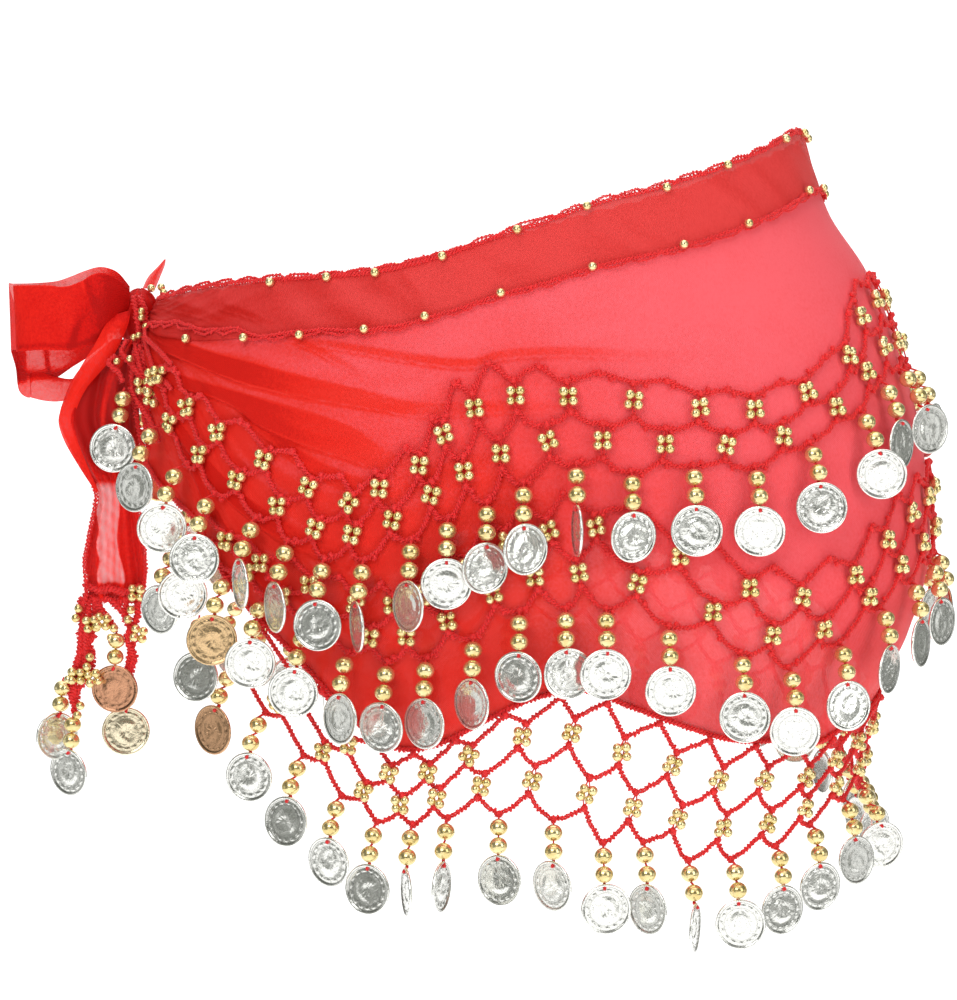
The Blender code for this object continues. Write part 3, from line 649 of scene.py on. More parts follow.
def coin_material():
    """Bright plated coins. The flat coordinates run over each coin from its middle, as its relief does."""
    made, tree, shader = new_material("coin_plate")
    flat = flat_place(tree)
    from_middle = vector_sum(tree, "SUBTRACT", vector_sum(tree, "FRACTION", flat)[0], (0.5, 0.5, 0.0))[0]
    # Darker in a line inside the dots, across the band of dots and at the foot of the rim: painted shade in
    # the relief's recesses.
    ring = ramp_of(tree, vector_sum(tree, "LENGTH", from_middle)["Value"], (
        (0.0, 1.0), (0.295, 1.0), (0.315, 0.7), (0.335, 0.95), (0.41, 0.95), (0.424, 0.35), (0.436, 1.0),
        (1.0, 1.0),
    ))
    squiggle = cloud_of(tree, flat, 8.0, 2.0, 1.5)
    lines = ramp_of(tree, squiggle, ((0.0, 1.0), (0.47, 1.0), (0.488, 0.35), (0.506, 1.0), (1.0, 1.0)))
    metal = ramp_of(tree, depth_shade_or_metal_of(tree), (
        (0.0, (0.92, 0.92, 0.87)), (0.5, (0.86, 0.70, 0.36)), (1.0, (0.60, 0.30, 0.17)),
    ))
    marks_and_recess_shade = mix_colours(tree, "MULTIPLY", 1.0, ring, lines)
    add_bump(tree, shader, squiggle, 0.3, 0.0003)
    feed(tree, shader, {
        "Base Color": mix_colours(tree, "MULTIPLY", 1.0, metal, marks_and_recess_shade),
        "Metallic": 0.84,
        "Roughness": 0.2,
    })
    return made


def srgb(red, green, blue):
    """A colour as read off a screen, made linear."""
    shares = (red / 255, green / 255, blue / 255)
    return tuple(c / 12.92 if c <= 0.04045 else ((c + 0.055) / 1.055) ** 2.4 for c in shares)


chiffon = chiffon_material(
    "chiffon", (srgb(249, 99, 108), srgb(236, 50, 40), srgb(230, 36, 24), srgb(190, 10, 8)), 0.965, 0.995
)
band_chiffon = chiffon_material(
    "band_chiffon", (srgb(226, 66, 64), srgb(200, 34, 28), srgb(180, 18, 12), srgb(146, 6, 6)), 0.97, 0.99
)
bow_chiffon = chiffon_material(
    "bow_chiffon", (srgb(240, 88, 92), srgb(250, 40, 26), srgb(216, 16, 10), srgb(140, 2, 4)), 0.77, 1.0
)
thread = thread_material("crochet_thread", srgb(246, 34, 36), srgb(200, 10, 16))
gold = bead_material()
plate = coin_material()

# The wound cloth

FRONT_STEP = 1.7
BACK_STEP = 3.6
CLOTH_ROWS = 172
BAND_ROWS = 26
HEM_JOINS_BAND = (216, 230)
ANGLES_LEVEL = -60


def even_angles(start, end, height, step):
    """Angles at equal steps along the hips at one height."""
    fine = [start + (end - start) * n / 3500 for n in range(3501)]
    spots = resample([hips(angle, height) for angle in fine], step)
    return [start + (end - start) * where / 3500 for where, _ in spots]


@lru_cache(maxsize=100000)
def cloth_hem(angle):
    """The cloth's own edge: the hem band's upper chain meets it at each high corner."""
    start, full = HEM_JOINS_BAND
    plain = hem(angle) - (straight(LEFT_HEM, 1, angle) if angle < 228 else 0.0)
    share = min((angle - start) / (full - start), (BACK_END - 22 - angle) / (full - start), 1.0)
    if share <= 0:
        return plain
    low, high = 0.0, HEM_BAND[-1][0]
    for _ in range(24):
        middle = (low + high) / 2
        if value(HEM_BAND, 1, middle) + value(HEM_BAND, 4, middle) < angle:
            low = middle
        else:
            high = middle
    share = share * share * (3 - 2 * share)
    return plain + share * (value(HEM_BAND, 2, low) + 0.6 - plain)


def add_cloth(name, angles, top, bottom, rows, finish, replaced, lift):
    """A stretch of cloth round the hips, with its creases."""
    pile = Pile()
    points, uv, shades = [], [], []
    for r in range(rows + 1):
        share = r / rows
        along = 0.0
        before = None
        for angle in angles:
            height = top(angle) + share * (bottom(angle) - top(angle))
            out, deeper = fold(angle, height)
            points.append(hips(angle, height, out + lift(angle, height)))
            here = hips(angle, ANGLES_LEVEL)
            along += (here - before).length if before else 0.0
            before = here
            uv.append((along * METRES, height * METRES))
            low, middle, high = row_at(GATHER, angle)
            depth = (seam(angle) - height) / (seam(angle) - hem(angle))
            base = low + (middle - low) * min(depth * 2, 1.0) + (high - middle) * max(depth * 2 - 1, 0.0)
            edge = 0.4 * max(1 - (height - bottom(angle)) / 1.8, 0.0) if bottom is cloth_hem else 0.0
            shades.append(clamp(base + deeper + edge))
    pile.add(points, grid_faces(rows + 1, len(angles)), uv, shades)
    return pile.make(name, finish, "chiffon", replaced)


CLOTH_START = 186.2
# How much lower the cloth's own edge hangs near the knot
LEFT_HEM = ((186, 8), (192, 27), (199, 37), (206, 35), (213, 29), (219, 18), (228, 0))

angles = even_angles(CLOTH_START, SIDE_ANGLE, ANGLES_LEVEL, FRONT_STEP)
angles += even_angles(SIDE_ANGLE, BACK_END, ANGLES_LEVEL, BACK_STEP)[1:]
skirt = add_cloth(
    "skirt",
    angles,
    lambda angle: seam(angle) + 2.0,
    cloth_hem,
    CLOTH_ROWS,
    chiffon,
    ("panel_front", "panel_back"),
    lambda angle, height: -0.5,
)
waistband = add_cloth(
    "waistband",
    angles,
    top_edge,
    seam,
    BAND_ROWS,
    band_chiffon,
    ("waistband_front", "waistband_back"),
    lambda angle, height: 0.1 + 0.6 * math.sin(math.pi * clamp((top_edge(angle) - height) / 21)),
)

# Crochet bands

LINE_STEP = 0.05


def line_point(band, line, i):
    """Angle and height of a chain line at coin number i, its corners a little rounded and the chain slack."""
    angle, top, bottom, slant = row_at(band, i)
    low, high = LINE_LEVELS[line]
    rise = 1.0 - abs(2.0 * (i % 1.0) - 1.0)
    free = band is HEM_BAND
    round_off = 0.12 if free else 0.3
    rise = (1 - round_off) * rise + round_off * (0.5 - 0.5 * math.cos(math.pi * rise))
    if line == "middle":
        rise = 1.0 - rise
    if band is UPPER_BAND and i > 9.5:
        flatter = 1 - 0.5 * min((i - 9.5) / 2, 1.0, max((40 - i) / 10, 0.0))
        pinned = {"coins": 0.0, "middle": 0.5, "top": 1.0}[line]
        rise = pinned + (rise - pinned) * flatter
    slack = (0.022 if free else 0.045) * math.sin(math.pi * (2 * i % 1.0)) if line != "top" else 0.02
    share = low + (high - low) * rise - slack
    return angle + share * slant, bottom + (top - bottom) * share


def on_cloth(angle, height, out):
    """A point that lies on the cloth, and the way out there."""
    return skin(angle, height, out), directions(angle, height)[2]


def add_line(pile, band, line, start, end, thick, picots, out=1.1):
    """One chain of a band, with its little knots at the corners and along it."""
    count = int((end - start) / LINE_STEP)
    points, outs = [], []
    for n in range(count + 1):
        i = start + (end - start) * n / count
        angle, height = line_point(band, line, i)
        place, way = on_cloth(angle, height + jitter(i * 7.3, 0.5), out)
        points.append(place)
        outs.append(way)
    add_chain(pile, points, outs, thick, fuzz=2 if picots else 1)
    i = math.ceil(start * 2) / 2
    while i <= end:
        angle, height = line_point(band, line, i)
        add_knob(pile, *on_cloth(angle, height, out + 0.3), 1.25 * thick, i)
        if picots:
            away = 0.14 + jitter(i * 1.3, 0.08)
            angle, height = line_point(band, line, min(i + away, end))
            height += math.copysign(1.3, jitter(i * 2.1, 1.0))
            add_knob(pile, *on_cloth(angle, height, out), 0.95 * thick, i)
        i += 0.5


def add_knob(pile, place, way, size, seed):
    """A crochet stitch drawn tight: a lumpy little knot with stray fibres."""
    points, faces = KNOB
    lumps = [place + point * (size * (1 + jitter(seed + n * 0.37, 0.3))) for n, point in enumerate(points)]
    pile.add(lumps, faces)
    side = way.orthogonal().normalized()
    across = way.cross(side)
    for n in range(5):
        turn = n * 1.26 + jitter(seed + n, 0.5)
        reach = (side * math.cos(turn) + across * math.sin(turn) + way * 0.3).normalized()
        base = place + reach * (size * 0.8)
        wide = reach.cross(way).normalized() * 0.17
        pile.add([base - wide, base + wide, base + reach * (size * 0.9)], [(0, 1, 2)])


def add_cluster(threads, beads, high, low, out, seed, spread=2.7):
    """Four small beads between two junctions, on two threads that pass round them."""
    middle = (high + low) / 2 + out * 1.3
    down = (low - high).normalized()
    across = down.cross(out).normalized()
    add_four(beads, middle, across, down, out, seed, spread)
    for side in (-1, 1):
        knee = across * (side * 0.75)
        line = [high.lerp(low, share) + knee + out * 0.7 for share in (0.25, 0.75)]
        line = [high + out * 0.6, *line, low + out * 0.6]
        add_tube(threads, line, [0.34] * 4, [out] * 4)


def add_four(beads, middle, across, down, out, seed, spread):
    """Four small beads in a square, turned and tipped a little their own way."""
    turn = math.pi / 4 + jitter(seed, 0.32)
    tip = jitter(seed * 1.7 + 0.3, 0.5)
    for quarter in range(4):
        at = turn + quarter * math.pi / 2
        x, y = math.cos(at) * spread, math.sin(at) * spread
        lift = x * tip * 0.3 + (0.5 if quarter % 2 else -0.5)
        size = SMALL_BEAD_RADIUS * (1 + jitter(seed * 2.3 + quarter, 0.07))
        add_ball(beads, SMALL_BALL, middle + across * x + down * y + out * lift, size)


def strand_places(angle, height, turn, crowd):
    """Centres of a strand's beads and coin, as the solids have them, with the coin's own directions."""
    start = hips(angle, height)
    tangent = directions(angle, height)[0]
    across = Vector((tangent.x, tangent.y, 0)).normalized()
    out = across.cross(Vector((0, 0, 1)))
    edge_on = COIN_RADIUS * abs(math.sin(math.radians(turn))) + 2.8
    coin_off = max(COIN_STANDS_OFF + crowd, edge_on)
    clear = 0.5 * straight(FOLDS, 1, angle)
    found, furthest = [], 0.0
    for drop, off in (*BEADS, (COIN_DROP + COIN_RADIUS, None)):
        under = hips(angle, height - drop, clear + solid_fold(angle, height - drop))
        furthest = max(furthest, (under - start).dot(out))
        if off is None:
            reach = coin_off
        else:
            reach = off + (coin_off - COIN_STANDS_OFF) * (drop / COIN_DROP) ** 2
        found.append(start + out * (furthest + reach - tuck(angle, height)) - Vector((0, 0, drop)))
    return found, across, out


COIN_RINGS = (
    0.0, 0.1, 0.2, 0.3, 0.4, 0.49, 0.57, 0.63, 0.67, 0.71, 0.75, 0.79, 0.83, 0.87, 0.9, 0.95, 0.985, 1.0,
)
COIN_AROUND = 60
COIN_DOTS = 15


def coin_relief(share, turn):
    """Height of the struck face: a plain crescent and swirl, a ring of dots and a raised rim."""
    height = 0.25
    if share < 0.6:
        x, y = share * math.cos(turn), share * math.sin(turn)
        inside = math.hypot(x - 0.04, y) < 0.44 and math.hypot(x - 0.2, y - 0.06) > 0.33
        height += 0.26 if inside else 0.07 * math.cos(2 * turn + 13 * share)
    height += 0.42 * max(math.cos(COIN_DOTS * turn), 0.0) * math.exp(-(((share - 0.75) / 0.035) ** 2))
    if 0.88 < share < 0.99:
        height += 0.34
    return height if share < 1.0 else 0.12


def coin_shape():
    """One coin in its own coordinates: x across, y out of its face, z up."""
    points, uv, faces = [], [], []
    fronts = [(share, 1, 1 if n == 0 else COIN_AROUND) for n, share in enumerate(COIN_RINGS)]
    backs = [(share, -1, COIN_AROUND) for share in (1.0, 0.95, 0.86, 0.5)]
    for share, side, count in fronts + backs:
        for s in range(count):
            turn = 2 * math.pi * s / COIN_AROUND
            radius = share * COIN_RADIUS
            relief = side * coin_relief(share, side * turn)
            points.append(Vector((radius * math.cos(turn), relief, radius * math.sin(turn))))
            uv.append((0.5 + 0.48 * share * math.cos(turn), 0.5 + 0.48 * share * math.sin(turn)))
    for s in range(COIN_AROUND):
        t = (s + 1) % COIN_AROUND
        faces.append((0, 1 + t, 1 + s))
        for n in range(len(COIN_RINGS) + len(backs) - 2):
            a = 1 + n * COIN_AROUND
            b = a + COIN_AROUND
            faces.append((a + s, a + t, b + t, b + s))
    end = len(points) - COIN_AROUND
    faces.append(tuple(end + s for s in range(COIN_AROUND)))
    return points, faces, uv


COIN = coin_shape()
KNOB = ball(6, 4)


def add_coin(coins, centre, across, out, turn, seed, metal=0.0):
    """A coin turned on its thread, leaning a little its own way."""
    swing = math.radians(turn + jitter(seed, 5))
    face = out * math.cos(swing) - across * math.sin(swing)
    right = across * math.cos(swing) + out * math.sin(swing)
    lean = Matrix.Rotation(jitter(seed + 0.37, 0.09), 3, right)
    lean = lean @ Matrix.Rotation(jitter(seed + 0.71, 0.14), 3, face)
    spin = Matrix.Rotation(jitter(seed + 0.11, 3.0), 3, "Y")
    axes = Matrix((right, face, Vector((0, 0, 1)))).transposed()
    points, faces, uv = COIN
    shift = int(jitter(seed + 0.53, 40)), int(jitter(seed + 0.83, 40))
    hang = centre + Vector((0, 0, COIN_RADIUS))
    coins.add(
        [hang + lean @ (axes @ (spin @ point) - Vector((0, 0, COIN_RADIUS))) for point in points],
        faces,
        [(u + shift[0], v + shift[1]) for u, v in uv],
        [metal] * len(points),
    )
    return face


def add_pendant(threads, beads, coins, chain, places, across, out, turn, seed, metal=0.0):
    """Two large beads and a coin below a chain."""
    first, second, coin = places
    up = Vector((0, 0, 1))
    add_tube(threads, [chain, first + up * 2.9], [0.5, 0.5], [out, out])
    add_ball(beads, BIG_BALL, first, BEAD_RADIUS, BEAD_FLAT)
    add_tube(threads, [first - up * 2.8, second + up * 2.8], [0.4, 0.4], [out, out])
    add_ball(beads, BIG_BALL, second, BEAD_RADIUS, BEAD_FLAT)
    face = add_coin(coins, coin, across, out, turn, seed, metal)
    if face.dot(out) < 0:
        face = -face
    top = coin + up * (COIN_RADIUS - 2.0)
    add_tube(threads, [second - up * 2.7, second - up * 3.6, top + face * 0.9], [0.45, 0.8, 0.7], [out] * 3)


def add_band(prefix, band, turns, net_ends, coin_ends, thick, spread, metals):
    """One crochet band: three chains, the clusters between them, and the coins below."""
    threads, small, big, coins = Pile(), Pile(), Pile(), Pile()
    for line, ends in (("top", net_ends), ("middle", net_ends), ("coins", coin_ends)):
        add_line(threads, band, line, *ends, thick, prefix != "hem")
    first, last = net_ends
    half = math.ceil(first * 2) / 2
    seed = 0
    while half <= last:
        whole = half == int(half)
        high, low = ("top", "middle") if whole else ("middle", "coins")
        above, way = on_cloth(*line_point(band, high, half), 1.1)
        below, _ = on_cloth(*line_point(band, low, half), 1.1)
        add_cluster(threads, small, above, below, way, seed + half, spread)
        half += 0.5
        seed += 1
    for i in range(int(coin_ends[0]), int(coin_ends[1]) + 1):
        angle, height = line_point(band, "coins", i)
        turn = turns[i]
        places, across, out = strand_places(angle, height, turn, straight(LIFT, 1, angle))
        chain, _ = on_cloth(angle, height, 1.1)
        metal = metals.get(i, 0.0)
        add_pendant(threads, big, coins, chain, places, across, out, turn, i + len(prefix), metal)
    if prefix == "upper":
        add_tie_coins(threads, big, coins)
        add_knot_strands(threads, small)
    nets = (f"{prefix}_net_front", f"{prefix}_net_back")
    fringes = (f"{prefix}_coins_front", f"{prefix}_coins_back")
    return [
        threads.make(f"{prefix}_crochet", thread, "crochet", nets),
        small.make(f"{prefix}_small_beads", gold, "coins"),
        big.make(f"{prefix}_beads", gold, "coins"),
        coins.make(f"{prefix}_coins", plate, "coins", fringes),
    ]


KNOT_STRANDS = (
    ((-155, -19, -46), (-154.7, -24, -51), (-152.2, -30, -58), (-149.5, -34, -66), (-147, -40, -72)),
    ((-158, -23, -48), (-160.1, -27, -52.5), (-156.1, -29, -57), (-149.9, -34, -64.2),
     (-143, -48, -69.3)),
    ((-162, -27, -54), (-165.1, -29, -56.6), (-160.1, -32, -60.3), (-158.6, -33, -64)),
    ((-151, -22, -42), (-149.9, -32, -46.6), (-143, -47, -51), (-137.4, -56, -55.6)),
    ((-152, -21, -46), (-148, -36, -53), (-145.8, -43, -58), (-137.4, -56.5, -65)),
    ((-156, -31, -66), (-153.9, -33, -70.5), (-147.6, -38, -78.2), (-143.2, -47, -85.8)),
    ((-153, -20, -31), (-151, -21.5, -36), (-150.5, -22, -43), (-152, -21.5, -50), (-155, -25, -56)),
    ((-155.5, -19.5, -31), (-154.5, -21.5, -37), (-153.5, -22, -44), (-154, -22, -50)),
    ((-152.5, -24, -50), (-153.5, -27, -60), (-152, -29, -70), (-150.5, -31, -80), (-148.5, -34, -90)),
    ((-154.5, -24, -52), (-156, -27, -63), (-154.5, -29, -74), (-152.5, -31, -85), (-150, -34, -96)),
    ((-151, -26, -52), (-151, -31, -64), (-149, -35, -75), (-147, -38, -86)),
)
LOOSE_BEADS = (
    (-152.2, -23.5, -36.8), (-152.2, -23.8, -39.2), (-150.6, -24, -42.7), (-153.4, -23.5, -46.2),
    (-155.3, -23.5, -47), (-161.2, -30.5, -56), (-156.1, -31, -54.9),
)
KNOT_CLUSTERS = ((-150.8, -34.5, -65.4), (-146.4, -44, -69.2), (-145.2, -46, -60.8))


# Strands on chains that come from the knot: place of the chain, how far the coin hangs to the side, its turn
KNOT_PENDANTS = (
    (-157.8, -34.8, -66, -4.0, 8), (-129.8, -74, -118.3, -3.0, 4), (-126.2, -72, -149.8, -1.3, 20),
)


def add_tie_coins(threads, big, coins):
    """The first strand, and two more among the strands beside it."""
    across, out = Vector((1, 0, 0)), Vector((0, -1, 0))
    for n, (x, y, z, aside, turn) in enumerate(KNOT_PENDANTS):
        chain = Vector((x, y, z))
        places = [chain + Vector((aside * drop / DROPS[-1], 0, -drop)) for drop in DROPS]
        add_pendant(threads, big, coins, chain, places, across, out, turn, 0.3 + n)


def add_knot_strands(threads, small):
    """Crochet and loose beads that run from the knot to the first strands of the upper band."""
    out = Vector((-0.3, -0.95, 0))
    for strand in KNOT_STRANDS:
        add_chain(threads, [Vector(place) for place in strand], [out] * len(strand), 1.3, fuzz=3)
    for place in LOOSE_BEADS:
        add_ball(small, SMALL_BALL, Vector(place), 1.45)
    for place in TIP_BEADS:
        add_ball(small, SMALL_BALL, Vector(place), 1.6)
    for n, place in enumerate(KNOT_CLUSTERS):
        add_four(small, Vector(place), Vector((1, 0, 0)), Vector((0, 0, 1)), out, n * 1.7, 2.4)


# Ends of the net and of the coins, the chain's thickness, the spread of the beads, the gold and bronze coins
bands = []
bands += add_band(
    "upper", UPPER_BAND, UPPER_TURNS, (0.0, 38.0), (0.0, 38.0), 1.12, 2.5, {37: 0.5, 38: 0.5}
)
bands += add_band(
    "middle", MIDDLE_BAND, MIDDLE_TURNS, (0.5, 35.5), (0.0, 36.0), 1.12, 2.5, {1: 0.75, 18: 1.0}
)
bands += add_band("hem", HEM_BAND, HEM_TURNS, (1.5, 36.5), (0.0, 37.0), 1.2, 2.4, {0: 0.9})

# The corded edge of the cloth, which the hem band hangs from
edging_threads = Pile()
edging_angles = even_angles(194, 532, -150, 1.3)
edging = [on_cloth(angle, cloth_hem(angle) + 0.4, 0.5) for angle in edging_angles]
add_chain(edging_threads, [place for place, _ in edging], [way for _, way in edging], 1.25, fuzz=2)
bands.append(edging_threads.make("hem_edging", thread, "crochet"))

# Waistband trims

trim_threads, trim_beads = Pile(), Pile()
PICOT = 12.0
# Where the beads of the top trim and of the seam's trim sit: angle, and how far above the edge
TOP_BEADS = (
    (230.5, -0.5), (241.3, 0.3), (249.8, 0), (258.9, 0.5), (269, 0.5), (277.9, 0.6), (292.7, 0),
    (308.4, 0.6), (330.5, 0.5), (346, 0.4), (358, 0.3), (371, 0.5), (384, 0), (397, 0.5), (409, 0.3),
    (421, 0), (433, 0.5), (445, 0), (457, 0.4), (469, 0.2), (481, 0.5), (493, 0), (507, 0.4), (522, 0),
)
SEAM_BEADS = (
    (214.9, 0.6), (229, 0.3), (239.8, 0.6), (249.6, 1.0), (258.5, 0.6), (267.5, 0.5), (277.6, 0.3),
    (293.2, 0.3), (307.8, 0.5), (334.3, 0.6), (348, 0.4), (361, 0.2), (374, 0.5), (388, 0.3), (402, 0.5),
    (416, 0), (430, 0.4), (442, 0.3), (455, 0.5), (467, 0.3), (480, 0.5), (492, 0), (505, 0.4),
    (518, 0.2),
)
# How far the seam's trim strays above the seam by the knot
SEAM_STRAYS = (
    (190, 0), (200, 4.5), (209, 6.8), (214, 5.8), (219, 4.3), (226.5, 4.3), (232, 0.5), (236.5, 1.9),
    (243, 2.6), (249, 1), (256, 0), (540, 0),
)
# The slack loop of the top trim: angle, and how far above the edge
SLACK_LOOP = ((265.5, 0), (267.3, 1.6), (269.2, 2.6), (271.2, 2.3), (273, 1.2), (274.6, -0.2))


def add_trim(edge, rest, thick, wave, beads, out, strays):
    """A crochet edging that straddles the band's edge, with a small bead here and there."""
    points, outs, picot = [], [], []
    along, before = 0.0, None
    for angle in even_angles(FRONT_START, BACK_END, -30, 1.3):
        height = edge(angle) + rest + straight(strays, 1, angle) + jitter(along * 0.13, 0.3)
        place, way = on_cloth(angle, height, out)
        along += (place - before).length if before else 0.0
        before = place
        points.append(place)
        outs.append(way)
        rise = wave * abs(math.sin(math.pi * along / PICOT)) ** 0.6
        picot.append(on_cloth(angle, height + rise + jitter(along * 0.31, 0.35), out + 0.2)[0])
    add_chain(trim_threads, points, outs, thick, fuzz=2)
    add_chain(trim_threads, picot, outs, thick * 0.7, fuzz=2)
    for n, (angle, rise) in enumerate(beads):
        place, way = on_cloth(angle + jitter(n, 0.5), edge(angle) + rise, out + 1.2)
        add_ball(trim_beads, SMALL_BALL, place, 1.75)


add_trim(top_edge, 0.5, 1.0, 1.5, TOP_BEADS, 0.7, ((180, 0), (540, 0)))
add_trim(seam, -0.4, 0.9, -1.6, SEAM_BEADS, 1.2, SEAM_STRAYS)
slack = [on_cloth(angle, top_edge(angle) + rise, 0.9) for angle, rise in SLACK_LOOP]
add_chain(trim_threads, [place for place, _ in slack], [way for _, way in slack], 0.7)
trims = [
    trim_threads.make("waistband_crochet", thread, "crochet"),
    trim_beads.make("waistband_beads", gold, "coins"),
]

# Knot, bow, tie ends

# Ribbons, row by row: one edge, the other edge, how far the middle stands out to the front, how deep the
# colour
BOW_FRONT = (
    (-157.5, -15, -30, -158, -15, -40, 1, 1.0), (-161, -17.5, -25.5, -161, -18, -43, 1.5, 1.0),
    (-166.5, -19.5, -22.2, -166, -21, -46, 2.5, 0.85),
    (-171.5, -20.5, -22.6, -172, -21.5, -49.5, 2.5, 0.72),
    (-176, -20.5, -25.2, -178, -21, -52, 1.5, 0.66), (-182.5, -20, -27.3, -185, -20, -52.2, 1, 0.62),
    (-190, -18.5, -26.8, -192, -18, -52.2, 0.8, 0.62), (-198, -15.5, -26.9, -199, -15, -52.8, 0.6, 0.62),
    (-203.2, -12, -27.1, -202.6, -12, -53.2, 0.3, 0.6),
    (-204.4, -8.5, -27.3, -203.4, -8.5, -53.6, 0, 0.55),
)
BOW_REAR = (
    (-158, -11, -27.5, -158, -12, -40, 0.5, 0.9), (-162, -13, -22.3, -162, -15, -43, 1, 0.7),
    (-166, -14.5, -20.2, -166, -17, -45, 1.5, 0.5), (-170, -15.5, -19.8, -170, -17.5, -46, 1.5, 0.4),
    (-175.5, -16, -21.4, -176, -17.5, -48, 1, 0.3), (-181, -16, -23.6, -182, -17, -50, 0.5, 0.26),
    (-187, -15.5, -25.4, -188, -16, -51, 0.3, 0.36), (-197, -13, -26.2, -198, -13, -52, 0, 0.3),
    (-204, -10, -26.4, -204, -10, -52.6, 0, 0.25), (-206.3, -7, -26.5, -205.8, -7, -53, 0, 0.3),
    (-206, -3.5, -30, -204.6, -3, -60, 0, 0.42), (-204.5, -0.5, -36, -203.8, 0, -69.5, 0, 0.4),
    (-200.4, 2, -42, -199.6, 2, -72.2, 0, 0.38), (-199.8, 2.2, -42, -199.0, 2.2, -66, 0, 0.38),
    (-195, 3.5, -46, -194, 3.5, -65.2, 0, 0.38), (-190, 4, -48, -189.5, 4, -64.5, 0, 0.42),
    (-183, 3.5, -46, -183, 3.5, -60.2, 0, 0.5), (-176, 1, -42, -176, 1, -55.8, 0, 0.7),
    (-168, -3, -38, -168, -3, -49.5, 0, 0.9),
)
BOW_LOWER = (
    (-199.9, 2.2, -63, -199.5, 2.2, -72.3, 0, 0.34), (-195, 3.2, -62.5, -194.5, 3.2, -73.6, 0, 0.34),
    (-190, 3.5, -63.8, -189.5, 3.5, -74, 0, 0.36), (-185, 3, -64.8, -184.5, 3, -73.3, 0, 0.4),
    (-181, 1, -64.2, -180.5, 1, -72, 0, 0.5), (-176.5, -2, -61.5, -176, -2, -69, 0, 0.6),
    (-172, -6, -57, -171, -6, -64, 0, 0.9),
)
BOW_CROSSING = (
    (-164, -20, -38.5, -157, -19, -36.5, 0.5, 0.8),
    (-167.1, -23, -43.3, -157.5, -21.5, -41.5, 1.5, 0.58),
    (-170.3, -24.5, -49.5, -160.5, -23.5, -49, 2, 0.46),
    (-173.5, -25.5, -54.5, -164.3, -25, -55.8, 2, 0.42),
    (-177.6, -26, -61.5, -168.6, -26, -60.8, 2, 0.42),
    (-180.7, -26.5, -69, -173.4, -27, -66.5, 1.5, 0.44), (-183.3, -26.5, -74, -176.8, -27, -73, 1, 0.42),
    (-184.8, -26, -80, -178.6, -26.8, -80, 0.5, 0.36), (-182.4, -25.6, -88, -177, -26.6, -88, 0.3, 0.44),
    (-176.8, -25.2, -98, -173.2, -26.2, -98, 0, 0.56),
    (-170.8, -24.8, -107.5, -169.4, -25.6, -107.5, 0, 0.62),
)
TAIL_SHAPE = (
    (-150, -173.5, -153.5, -20, 2.0), (-147, -175, -152.3, -20, 2.5), (-141, -175.3, -151.4, -20.5, 3.0),
    (-134.5, -175.6, -151.8, -21, 3.0), (-126, -173.9, -152.8, -21.5, 3.0),
    (-117, -171.8, -154, -22, 3.2), (-107.8, -170.3, -155.1, -23, 3.4), (-98, -176.3, -154.2, -24, 4.2),
    (-88, -181.8, -153.4, -24.5, 4.8), (-79, -184.8, -153.2, -25, 4.8), (-70, -182.5, -153, -24.5, 4.0),
    (-61, -178, -152.4, -23.5, 3.0), (-54, -171, -152, -21, 2.0), (-48, -164, -152, -17.5, 1.0),
)
TAIL_TOP, TAIL_BOTTOM = -48, -150


def add_ribbon(pile, rows, across, steps, darker=None, ripple=0.35):
    """A ribbon between two edges, rippled a little, with any deeper colour that darker gives at a place."""
    numbered = [(n, *row) for n, row in enumerate(rows)]
    points, uv, shades = [], [], []
    along, before = 0.0, None
    for step in range(steps + 1):
        n = step * (len(rows) - 1) / steps
        row = row_at(numbered, n)
        one, two = Vector(row[0:3]), Vector(row[3:6])
        middle = (one + two) / 2
        along += (middle - before).length if before else 0.0
        before = middle
        for c in range(across + 1):
            share = c / across
            place = one.lerp(two, share)
            bulge = row[6] * (1 - (2 * share - 1) ** 2)
            bulge += ripple * noise.noise(Vector((along * 0.12, share * 4, rows[0][0])))
            place = place - Vector((0, bulge, 0))
            points.append(place)
            uv.append((along * METRES, share * (two - one).length * METRES))
            shade = row[7] + (darker(place, share, along) if darker else 0.0)
            shades.append(clamp(shade))
    pile.add(points, grid_faces(steps + 1, across + 1), uv, shades)


def bump_at(x, middle, half):
    """One at the middle, fading to nothing within about two halves."""
    return math.exp(-(((x - middle) / half) ** 2))


def front_darker(place, share, along):
    """Painted shade in the throat by the knot, the folds of the puff with a painted highlight along one of
    them, and thinner edges.
    """
    # Painted shade in the throat by the knot.
    deeper = 0.55 * bump_at(place.x, -161.3, 2.4) * bump_at(place.z, -36.5, 4)
    deeper += 0.3 * bump_at(place.x - 0.35 * place.z, -162.5, 1.6) * bump_at(place.z, -46, 6)
    # A painted highlight along the top of the puff.
    deeper -= 0.25 * bump_at(place.x + 0.25 * (place.z + 26), -175.2, 0.9) * bump_at(place.z, -26.5, 3)
    deeper += 0.16 * bump_at(share, 0.93, 0.035) + 0.14 * bump_at(place.x + 0.5 * (place.z + 30), -172, 2.0)
    deeper -= 0.2 * max(1 - share / 0.02, 0.0)
    return deeper + 0.05 * noise.noise(place * 0.12)


